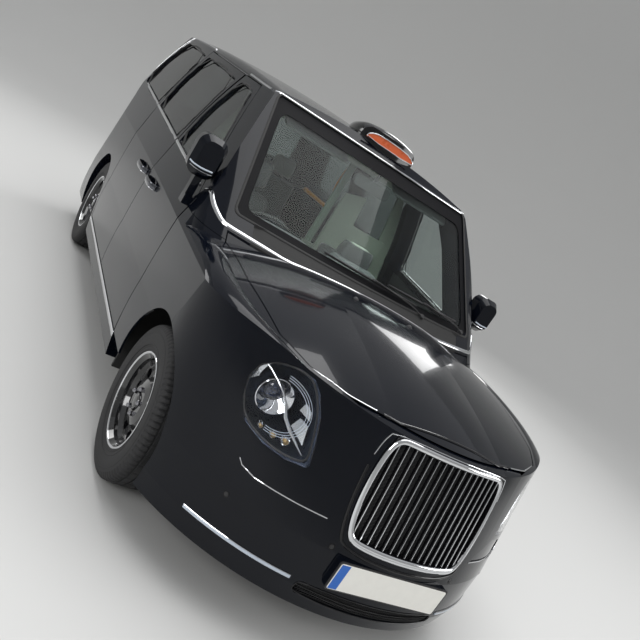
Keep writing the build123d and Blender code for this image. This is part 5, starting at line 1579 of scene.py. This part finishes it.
# %% [markdown]
# ## The rear plate and strips
# A blank yellow plate with its blue band sits in a black holder that leans with the tailgate. Lamp bar,
# grip, waist strip, high brake lamp and bumper step are beads, given as three places across and settled on
# the back.

# %% Rear plate and strips
REAR_PLATE_Z = 0.86
SLAB_SUNK = 0.002
# Name, half width, height at the ends, height in the middle, width, depth, finish, slot
GATE_STRIPS = [
    ("gate_grip", 0.4, 0.965, 0.97, 0.026, 0.011, CHROME, "body_paint"),
    ("gate_lamp_bar", 0.27, 0.944, 0.946, 0.02, 0.014, SATIN_BLACK, "black_trim"),
    ("gate_waist_strip", 0.72, 1.262, 1.27, 0.012, 0.005, CHROME, "body_paint"),
    ("high_brake_lamp", 0.17, 1.775, 1.776, 0.018, 0.006, LENS_RED, "red_lens"),
]
gate_skin = skin_of("tailgate")


def on_rear(points, skin, proud=0.0):
    """Rear-view places put on the back of the car, with their outward normals."""
    return settle([Vector((x, BEHIND_CAR, z)) for x, z in points], skin, proud, AHEAD)


def gate_slab(name, outline, thick, looks):
    """A plate that follows the tailgate at its middle."""
    middle = sum((Vector(p) for p in outline), Vector((0, 0))) / len(outline)
    places, normals = on_rear([middle], gate_skin)
    y = places[0].y
    lean = normals[0].z / max(0.2, normals[0].y)
    vertices, faces = slab(outline, y - SLAB_SUNK, y + thick, 1)
    vertices = [Vector((v.x, v.y - (v.z - middle.y) * lean, v.z)) for v in vertices]
    soften(add_piece(name, vertices, faces, looks, "tailgate"), 0.0012)


def rear_strip(name, half, ends, middle, width, height, looks, slot, skin, body):
    """A bead across the back, given at its ends and its middle."""
    line = [(-half, BEHIND_CAR, ends), (0, BEHIND_CAR, middle), (half, BEHIND_CAR, ends)]
    strip(name, line, skin, looks, body, width, height, slot=slot, toward=AHEAD)


holder = at(rounded(PLATE_WIDE + HOLDER_RIM, PLATE_HIGH + HOLDER_RIM, 0.01), (0, REAR_PLATE_Z))
gate_slab("rear_plate_holder", holder, 0.004, SATIN_BLACK)
plate = at(rounded(PLATE_WIDE, PLATE_HIGH, 0.008), (0, REAR_PLATE_Z))
gate_slab("rear_plate", plate, 0.0065, PLATE_YELLOW)
gate_slab("rear_plate_band", band(BAND_NEAR, BAND_FAR, REAR_PLATE_Z), 0.0072, PLATE_BLUE)
for row in GATE_STRIPS:
    rear_strip(*row, gate_skin, "tailgate")
print(len(GATE_STRIPS), "strips on the tailgate")

# %% [markdown]
# ## The rear window and sensors
# Thin heating lines cross the rear glass, and one wiper rests over them. The lines are real beads, half a
# millimetre high. Four parking sensors sit in the bumper.

# %% Heating lines, rear wiper and sensors
HEATING_ROWS = 13
HEATING_HALF = 0.54
REAR_HUB = [(-0.01, 0.02), (0.014, 0.018), (0.02, 0.012), (0.021, 0.0)]
REAR_SENSOR = [(-0.001, 0.012), (0.002, 0.011), (0.003, 0.008), (0.003, 0.0)]

gate_glass_skin = skin_of("tailgate_glass")
warm = []
for row in range(HEATING_ROWS):
    z = 1.36 + 0.027 * row
    line = [(HEATING_HALF * (part / 8 - 1), z) for part in range(17)]
    places, normals = on_rear(line, gate_glass_skin, 0.0004)
    warm.append(swept(places, normals, 0.0014, 0.0005))
add_piece("rear_heating_lines", *joined(warm), IRON, "tailgate")

swept_places = [(0.0, 1.318)] + [(0.02 + 0.035 * part, 1.345 + 0.002 * part) for part in range(13)]
places, normals = on_rear(swept_places, skin_of("tailgate_glass", "tailgate"), 0.006)
blade_line = [place + normal * 0.004 for place, normal in zip(places[1:], normals[1:])]
arm_line = [places[0] + normals[0] * 0.012, places[4] + normals[4] * 0.022, places[8] + normals[8] * 0.016]
look = Matrix.Translation(places[0]) @ Matrix.Rotation(pi / 2, 4, "Z")
hub = moved(turned(REAR_HUB, 20), look)
shape = joined([bar(blade_line, 0.0055, 8, 1.3), bar(arm_line, 0.006, 8), hub])
add_piece("rear_wiper", *shape, SATIN_BLACK, "tailgate")

sensors = []
for x in (-0.6, -0.22, 0.22, 0.6):
    places, normals = on_rear([(x, 0.52)], rear_skin)
    sensors.append(stud(REAR_SENSOR, 20, places[0], normals[0]))
add_piece("rear_sensors", *joined(sensors), SATIN_BLACK)
rear_strip("bumper_step", 0.7, 0.655, 0.66, 0.03, 0.005, SATIN_BLACK, "black_trim", rear_skin, "body")
print("rear dressed")

# %% [markdown]
# ## Padded seats
# A seat pad made as a box with round edges looks like soap. Real foam under leather is pulled in along its
# edges, so each pad is a block that is remeshed evenly, blown up a little by a cloth that hardly stretches,
# and capped so that it never bulges past its neighbours.

# %% Blocks and their meshes
def block(low, high, lean=0.0, waist_in=0.0):
    """A box whose top may lean back, as vertices and faces."""
    corners = []
    for z in (low[2], high[2]):
        shift = lean * (z - low[2])
        inset = waist_in * (z - low[2])
        near_x, far_x = low[0] + inset, high[0] - inset
        for x, y in ((near_x, low[1]), (far_x, low[1]), (far_x, high[1]), (near_x, high[1])):
            corners.append(Vector((x, y + shift, z)))
    return corners, [(0, 3, 2, 1), (4, 5, 6, 7), (0, 1, 5, 4), (1, 2, 6, 5), (2, 3, 7, 6), (3, 0, 4, 7)]


def evaluated(piece):
    """A mesh with a piece's modifiers applied."""
    graph = bpy.context.evaluated_depsgraph_get()
    return bpy.data.meshes.new_from_object(piece.evaluated_get(graph), depsgraph=graph)


print("a pad starts as a block of", len(block((0, 0, 0), (1, 1, 1))[0]), "corners")

# %% Pads blown up by a cloth
PAD_GRAIN = 0.014
PAD_FRAMES = 20
PAD_PRESSURE = 4.0
PAD_STRETCH = 25
PAD_BENDING = 1.5


def blow_up(piece, cap):
    """Inflates a piece by cloth pressure, no point by more than a cap."""
    scene = bpy.context.scene
    before = [v.co.copy() for v in piece.data.vertices]
    cloth = piece.modifiers.new("cloth", "CLOTH")
    cloth.settings.quality = 5
    cloth.settings.mass = 0.3
    cloth.settings.tension_stiffness = PAD_STRETCH
    cloth.settings.compression_stiffness = PAD_STRETCH
    cloth.settings.bending_stiffness = PAD_BENDING
    cloth.settings.use_pressure = True
    cloth.settings.uniform_pressure_force = PAD_PRESSURE
    cloth.settings.effector_weights.gravity = 0.0
    cloth.point_cache.frame_start = 1
    cloth.point_cache.frame_end = PAD_FRAMES
    for moment in range(1, PAD_FRAMES + 1):
        scene.frame_set(moment)
    blown = evaluated(piece)
    piece.modifiers.clear()
    piece.data = blown
    scene.frame_set(1)
    for vertex, start in zip(blown.vertices, before):
        way = vertex.co - start
        if way.length > cap:
            vertex.co = start + way * (cap / way.length)


def pad_mesh(name, shape, cap, edge):
    """A padded form: rounded block, even skin, blown up by cloth pressure and capped."""
    mesh = bpy.data.meshes.new(name)
    mesh.from_pydata([tuple(v) for v in shape[0]], [], shape[1])
    piece = bpy.data.objects.new(name, mesh)
    bpy.context.scene.collection.objects.link(piece)
    edges = piece.modifiers.new("round", "BEVEL")
    edges.width = edge
    edges.segments = 4
    skin = piece.modifiers.new("even", "REMESH")
    skin.mode = "VOXEL"
    skin.voxel_size = PAD_GRAIN
    mesh = evaluated(piece)
    piece.modifiers.clear()
    piece.data = mesh
    blow_up(piece, cap)
    relax = piece.modifiers.new("relax", "SMOOTH")
    relax.factor = 0.5
    relax.iterations = 4
    finer = piece.modifiers.new("finer", "SUBSURF")
    finer.levels = 1
    finer.render_levels = 1
    done = evaluated(piece)
    bpy.data.objects.remove(piece)
    return done


print("pads are blown up over", PAD_FRAMES, "frames")

# %% [markdown]
# ## The driver's seat
# Cushion, back and headrest are pads of their own, as on a real seat, and each says how full it is. A
# stiff shell behind them, with a base and two posts, stands for the seat's solid.

# %% The driver's seat
SEAT_X = -0.4
# Name, low corner, high corner, lean of the top, narrowing, cap, edge, fill
DRIVER_PADS = [
    ("driver_cushion", (-0.642, -0.385, 0.575), (-0.158, 0.0, 0.69), 0.0, 0.0, 0.012, 0.045, 0.7),
    ("driver_back", (-0.632, -0.06, 0.675), (-0.168, 0.028, 1.19), 0.122, 0.07, 0.012, 0.04, 0.7),
    ("driver_headrest", (-0.525, 0.012, 1.21), (-0.275, 0.08, 1.39), 0.05, 0.1, 0.01, 0.03, 0.75),
]
# Distance from the seat's middle, place along the car, height
CUSHION_SEAM = ((0.2, -0.36, 0.685), (0.21, -0.2, 0.693), (0.21, -0.06, 0.695))
BACK_SEAM = ((0.175, -0.062, 0.72), (0.165, -0.035, 0.95), (0.145, 0.0, 1.16))


def place_pad(name, mesh, shift, looks):
    """A copy of a pad's mesh set down somewhere."""
    own = mesh.copy()
    own.transform(Matrix.Translation(shift))
    piece = dress(bpy.data.objects.new(name, own), looks, "body", radians(60))
    return piece


def cabin_piece(name, shape, looks, sharp=SHARP_EDGE):
    """One stiff piece of the cabin."""
    return add_piece(name, *shape, looks, "body", "cabin_plastic", sharp)


def posts(x, foot, head):
    """Two headrest posts beside a middle, each between two places along the car and up."""
    return [bar([(x + shift, *foot), (x + shift, *head)], 0.007, 8) for shift in (-0.06, 0.06)]


for name, low, high, lean, narrow, cap, edge, fill in DRIVER_PADS:
    solved = pad_mesh(name, block(low, high, lean, narrow), cap, edge)
    place_pad(name, solved, (0, 0, 0), LEATHER)
for side, letter in ((-1, "a"), (1, "b")):
    for part, seam in (("cushion", CUSHION_SEAM), ("back", BACK_SEAM)):
        line = smooth_line([(SEAT_X + side * out, y, z) for out, y, z in seam], 0.02, 2)
        add_piece(f"driver_{part}_seam_{letter}", *bar(line, 0.0032, 6), LEATHER, "body", "seat_cover")
shell_plate = block((-0.64, 0.02, 0.6), (-0.16, 0.05, 1.17), 0.122, 0.06)
base_frame = block((-0.625, -0.37, 0.548), (-0.175, 0.03, 0.585))
seat_frame = joined([shell_plate, base_frame, *posts(SEAT_X, (0.075, 1.15), (0.06, 1.24))])
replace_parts(soften(cabin_piece("driver_seat_frame", seat_frame, CABIN_DARK), 0.01), "driver_seat")
print(len(DRIVER_PADS), "pads on the driver's seat")

# %% [markdown]
# ## Bench and tip-up seats
# The bench has three places alike, so cushion, back and headrest are solved once and copied. Three more
# seats are shown folded against the partition, each with a thin back and a seat that stands upright in
# front of it. Stiff frames stand for the solids of both.

# %% Rear bench and tip-up seats
BENCH_X = (-0.38, 0.0, 0.38)
TIP_X = (-0.43, 0.0, 0.43)
TIP_HALF = 0.195
HINGE_HALF = 0.17

cushion = pad_mesh("bench_cushion", block((-0.19, 1.09, 0.585), (0.19, 1.57, 0.7)), 0.012, 0.045)
back = pad_mesh("bench_back", block((-0.19, 1.535, 0.62), (0.19, 1.62, 1.225), 0.16), 0.012, 0.04)
rest = pad_mesh("bench_headrest", block((-0.115, 1.645, 1.24), (0.115, 1.71, 1.395), 0.05, 0.08), 0.01, 0.03)
for number, x in enumerate(BENCH_X, 1):
    place_pad(f"bench_cushion_{number}", cushion, (x, 0, 0), LEATHER)
    place_pad(f"bench_back_{number}", back, (x, 0, 0), LEATHER)
    place_pad(f"bench_headrest_{number}", rest, (x, 0, 0), LEATHER_PALE)
bench_parts = [block((-0.57, 1.62, 0.6), (0.57, 1.65, 1.21), 0.16),
               block((-0.56, 1.1, 0.56), (0.56, 1.6, 0.592))]
for x in BENCH_X:
    bench_parts.extend(posts(x, (1.7, 1.19), (1.69, 1.27)))
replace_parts(soften(cabin_piece("rear_bench_frame", joined(bench_parts), CABIN_DARK), 0.008), "rear_bench")

tip_back = pad_mesh("tip_back", block((-0.19, 0.118, 0.74), (0.19, 0.158, 1.0)), 0.008, 0.02)
tip_seat = pad_mesh("tip_seat", block((-0.19, 0.165, 0.53), (0.19, 0.205, 0.9)), 0.008, 0.02)
tip_frames = []
for number, x in enumerate(TIP_X, 1):
    place_pad(f"tip_back_{number}", tip_back, (x, 0, 0), LEATHER)
    place_pad(f"tip_seat_{number}", tip_seat, (x, 0, 0), LEATHER)
    tip_frames.append(block((x - TIP_HALF, 0.1125, 0.54), (x + TIP_HALF, 0.163, 0.73)))
    tip_frames.append(bar([(x - HINGE_HALF, 0.15, 0.535), (x + HINGE_HALF, 0.15, 0.535)], 0.014, 10))
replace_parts(soften(cabin_piece("tip_up_frames", joined(tip_frames), CABIN_DARK), 0.005), "tip_up_seats")
print(len(BENCH_X), "places on the bench,", len(TIP_X), "tip-up seats")

# %% [markdown]
# ## The dashboard
# Through the windscreen the photo shows a tall padded dashboard with a hood over the dials and a pod in the
# middle. The pad is a sheet over the solid dashboard. The humps are outlines seen from above, drawn in
# towards the top along a quarter circle.

# %% Dashboard pad, hoods and pod
SOFT_SHADING = radians(60)
# Place along the car, height
PAD_ROWS = [(-1.135, 1.125), (-1.06, 1.132), (-0.95, 1.135), (-0.85, 1.132), (-0.775, 1.118), (-0.74, 1.09),
            (-0.728, 1.05)]
PAD_HALF = 0.715
PAD_BOW, PAD_DROP = 0.1, 0.02
HUMP_LEVELS = 6


def dome_over(outline, place, low, high, inward):
    """A padded hump: an outline seen from above, drawn in and rounded towards its top."""
    points = [Vector(p) for p in at(outline, place)]
    middle = sum(points, Vector((0, 0))) / len(points)
    vertices = []
    for level in range(HUMP_LEVELS + 1):
        turn = pi / 2 * level / HUMP_LEVELS
        reach = 1 - inward * (1 - cos(turn))
        z = low + (high - low) * sin(turn)
        vertices.extend(Vector((*(middle + (p - middle) * reach), z)) for p in points)
    count = len(points)
    faces = grid_faces(HUMP_LEVELS + 1, count, close_columns=True)
    faces.append(tuple(range(HUMP_LEVELS * count, (HUMP_LEVELS + 1) * count)))
    return vertices, faces


pad = []
for row, (y, z) in enumerate(PAD_ROWS):
    for column in range(25):
        across = column / 12 - 1
        bow = PAD_BOW * across ** 2 if row < 2 else 0.0
        pad.append(Vector((PAD_HALF * across, y + bow, z - PAD_DROP * across ** 4)))
cabin_piece("dash_top_pad", (pad, grid_faces(len(PAD_ROWS), 25)), DASH_GREY, SOFT_SHADING)
dial_hood = dome_over(rounded(0.36, 0.17, 0.06, 6), (-0.4, -0.835), 1.11, 1.165, 0.3)
middle_hump = dome_over(rounded(0.3, 0.2, 0.06, 6), (0.03, -0.87), 1.11, 1.2, 0.25)
meter_case = dome_over(rounded(0.2, 0.11, 0.03, 6), (0.04, -0.8), 1.19, 1.285, 0.2)
meter_lid = dome_over(rounded(0.11, 0.05, 0.012, 4), (0.04, -0.8), 1.279, 1.29, 0.1)
cabin_piece("dash_hoods", joined([dial_hood, middle_hump]), DASH_GREY, SOFT_SHADING)
cabin_piece("meter_pod", meter_case, CABIN_DARK, SOFT_SHADING)
cabin_piece("meter_lid", meter_lid, CABIN_PALE)
print("dashboard pad of", len(pad), "points")

# %% [markdown]
# ## Screens and vents
# A dark panel carries the dials, a framed screen leans back in the middle, and each of the four vents is
# five slats. All stay blank and dark, as with the ignition off.

# %% Dials, screen and vents
LEAN_BACK = Matrix.Rotation(radians(-12), 4, "X")
SCREEN_PLACE = Matrix.Translation((0.0, -0.7, 1.1)) @ LEAN_BACK
VENT_X = (-0.66, -0.17, 0.17, 0.66)
SLATS = 5
TRIM_LINE = [(-0.73, -0.689, 0.975), (-0.3, -0.686, 0.972), (0.3, -0.686, 0.972), (0.73, -0.689, 0.975)]

cabin_piece("dial_panel", slab(at(rounded(0.3, 0.09, 0.03), (-0.4, 1.13)), -0.748, -0.738, 1), SCREEN_DARK)
case = moved(slab(rounded(0.225, 0.2, 0.02), -0.012, 0.012, 1), SCREEN_PLACE)
screen = moved(slab(rounded(0.205, 0.18, 0.014), 0.011, 0.0135, 1), SCREEN_PLACE)
soften(cabin_piece("middle_screen_case", case, CABIN_DARK), 0.004)
cabin_piece("middle_screen", screen, SCREEN_DARK)
vents = []
for x in VENT_X:
    for row in range(SLATS):
        y, z = -0.712 - 0.018 * row / 4, 1.0 + 0.013 * row
        vents.append(bar([(x - 0.045, y, z), (x + 0.045, y, z)], 0.0035, 6))
cabin_piece("dash_vents", joined(vents), DARK_CHROME)
cabin_piece("dash_trim_line", bar(TRIM_LINE, 0.006, 8), DARK_CHROME)
print("dashboard dressed with", len(vents), "slats")

# %% [markdown]
# ## Partition and grab handles
# Behind the driver stands a partition with pale posts, panels and rails. Its bright orange grab handles are
# the one strong colour that the photo shows inside, so they are real bent bars that stand off the posts.

# %% Partition and grab handles
# Low corner, high corner
POSTS = [((0.165, 0.109, 1.06), (0.215, 0.124, 1.64)), ((-0.44, 0.109, 1.06), (-0.4, 0.12, 1.64))]
RAILS = [((-0.69, 0.085, 0.62), (0.69, 0.098, 0.66)), ((-0.69, 0.085, 0.98), (0.69, 0.098, 1.02))]
GRABS = [
    [(0.19, 0.122, 1.6), (0.19, 0.165, 1.585), (0.19, 0.165, 1.43), (0.19, 0.122, 1.412)],
    [(0.0, 0.11, 1.345), (0.0, 0.16, 1.34), (0.19, 0.16, 1.315), (0.19, 0.122, 1.31)],
]
# Places across and up
PALE_PANEL = [(0.235, 1.03), (0.69, 1.03), (0.69, 1.3), (0.41, 1.3), (0.39, 1.5), (0.235, 1.46)]

soften(cabin_piece("partition_posts", joined([block(*post) for post in POSTS]), CABIN_PALE), 0.004)
grabs = [bar(smooth_line(grab, 0.012, 2), 0.0125, 10) for grab in GRABS]
cabin_piece("grab_handles_partition", joined(grabs), GRAB_ORANGE)
soften(cabin_piece("partition_panel", slab(PALE_PANEL, 0.086, 0.098, 1), CABIN_PALE), 0.003)
soften(cabin_piece("partition_rails", joined([block(*rail) for rail in RAILS]), CABIN_PALE), 0.004)
print(len(grabs), "grab handles on the partition")

# %% [markdown]
# ## Roof lining, visors and mirror
# The lining is a patch of places thrown up against the inside of the roof, so it follows its curve. Visors
# and mirror are rounded plates.

# %% Roof lining, visors and mirror
LINING = [(-0.64, -0.42, 1.6), (0.64, -0.42, 1.6), (0.64, 1.95, 1.6), (-0.64, 1.95, 1.6)]
LINING_GAP = 0.006
VISOR_X = 0.38
VISOR_PLACE = Matrix.Translation((0, -0.5, 1.66)) @ Matrix.Rotation(radians(32), 4, "X")
INNER_MIRROR = Matrix.Translation((0, -0.62, 1.585))

lining = patch(LINING, 12, 10, skin_of("roof_panel"), LINING_GAP, Vector((0, 0, 1)))
cabin_piece("roof_lining", lining, HEADLINING)
for side, word in SIDES:
    visor = slab(at(rounded(0.42, 0.15, 0.03), (side * VISOR_X, 0)), -0.008, 0.008, 2)
    soften(cabin_piece(f"sun_visor_{word}", moved(visor, VISOR_PLACE), DASH_GREY), 0.005)
case = moved(slab(rounded(0.24, 0.065, 0.025), -0.014, 0.012, 1), INNER_MIRROR)
stalk = bar([(0, -0.615, 1.6), (0, -0.63, 1.655), (0, -0.625, 1.69)], 0.009, 8)
glass = moved(slab(rounded(0.225, 0.052, 0.02), 0.0115, 0.0135, 1), INNER_MIRROR)
soften(cabin_piece("inner_mirror_case", joined([case, stalk]), CABIN_DARK), 0.006)
add_piece("inner_mirror_glass", *glass, MIRROR, "body", "side_glass")
print("roof lined")

# %% [markdown]
# ## Door linings
# Each door has a lining laid on its inner face with an arm rest, and the rear doors have an orange grab
# bar. They belong to the door's own body, so they swing out with it.

# %% Door linings
INSIDE_X = 0.5
# Door, place of its front edge and of its rear edge, colour
DOOR_CARDS = (("front", -0.80, 0.0, CABIN_DARK), ("rear", 0.12, 0.96, CABIN_PALE))
CARD_LOW, CARD_BELOW_WAIST = 0.46, 0.035
GRAB_HEIGHTS = (0.98, 1.0, 1.16, 1.18)
GRAB_STANDS = (0.006, 0.045, 0.045, 0.006)

for side, word in SIDES:
    outward = Vector((side, 0, 0))
    x = side * INSIDE_X
    for door, near, far, looks in DOOR_CARDS:
        body = f"door_{door}_{word}"
        skin = skin_of(body)
        corners = [(x, near, CARD_LOW), (x, far, CARD_LOW), (x, far, waist(far) - CARD_BELOW_WAIST),
                   (x, near, waist(near) - CARD_BELOW_WAIST)]
        card = patch(corners, 10, 12, skin, 0.004, outward)
        add_piece(f"door_lining_{door}_{word}", *card, looks, body, "cabin_plastic")
        line = [(x, near + 0.16, 0.87), (x, (near + far) / 2, 0.885), (x, far - 0.12, 0.9)]
        strip(f"arm_rest_{door}_{word}", line, skin, CABIN_DARK, body, 0.06, 0.045, slot="cabin_plastic",
              toward=outward)
        if door == "rear":
            places, normals = settle([Vector((x, far - 0.1, z)) for z in GRAB_HEIGHTS], skin, 0.0, outward)
            grab = [place + normal * stand for place, normal, stand in zip(places, normals, GRAB_STANDS)]
            shape = bar(smooth_line(grab, 0.012, 2), 0.012, 10)
            add_piece(f"door_grab_{word}", *shape, GRAB_ORANGE, body, "cabin_plastic")
print("doors lined")

# %% [markdown]
# ## Below
# What the wheels hang on is already solid. Springs and calipers make it read as a real chassis. The front
# calipers belong to the steered knuckles and turn with them.

# %% Springs and calipers
SPRING_X, SPRING_Y = 0.5, 1.36
SPRING_LOW, SPRING_HIGH = 0.4, 0.555
SPRING_RADIUS, SPRING_WIRE = 0.055, 0.007
SPRING_TURNS = 5
AXLE_Z = 0.343
CALIPER_X = 0.79
# Radius and place across, from the caliper's outer face
CALIPER_SECTION = ((0.105, -0.052), (0.165, -0.052), (0.165, 0.0), (0.105, 0.0))
# End, place of the axle, last angle of the arc
CALIPERS = (("front", -1.528, 100), ("rear", 1.457, 90))


def coil(side):
    """One rear coil spring, standing upright."""
    steps = SPRING_TURNS * 16
    line = []
    for step in range(steps + 1):
        angle = 2 * pi * SPRING_TURNS * step / steps
        x, y = side * SPRING_X + SPRING_RADIUS * cos(angle), SPRING_Y + SPRING_RADIUS * sin(angle)
        line.append((x, y, SPRING_LOW + (SPRING_HIGH - SPRING_LOW) * step / steps))
    return bar(line, SPRING_WIRE, 8)


def caliper(side, axle_y, last):
    """A brake caliper: a section turned part of the way round the axle."""
    angles = [radians(angle) for angle in range(20, last + 1, 10)]
    vertices = []
    for angle in angles:
        for reach, x in CALIPER_SECTION:
            y, z = axle_y + reach * cos(angle), AXLE_Z + reach * sin(angle)
            vertices.append(Vector((side * (CALIPER_X + x), y, z)))
    faces = grid_faces(len(angles), 4, close_columns=True)
    faces += [(0, 1, 2, 3), tuple(range(len(vertices) - 4, len(vertices)))[::-1]]
    return vertices, faces


for side, word in SIDES:
    add_piece(f"rear_spring_{word}", *coil(side), STEEL, "body", "steel")
    for end, axle_y, last in CALIPERS:
        carrier = f"knuckle_{word}" if end == "front" else "body"
        soften(add_piece(f"caliper_{end}_{word}", *caliper(side, axle_y, last), IRON, carrier, "iron"), 0.006)
print("chassis dressed")

# %% [markdown]
# ## The size of the finished car
# The trim may stand a few millimetres proud of the solids, but the car has to keep its size, so both boxes
# are measured.

low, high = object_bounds()
print("solid box", [round(b - a, 4) for a, b in zip(cad_low, cad_high)])
print("dressed box", [round(b - a, 4) for a, b in zip(low, high)])
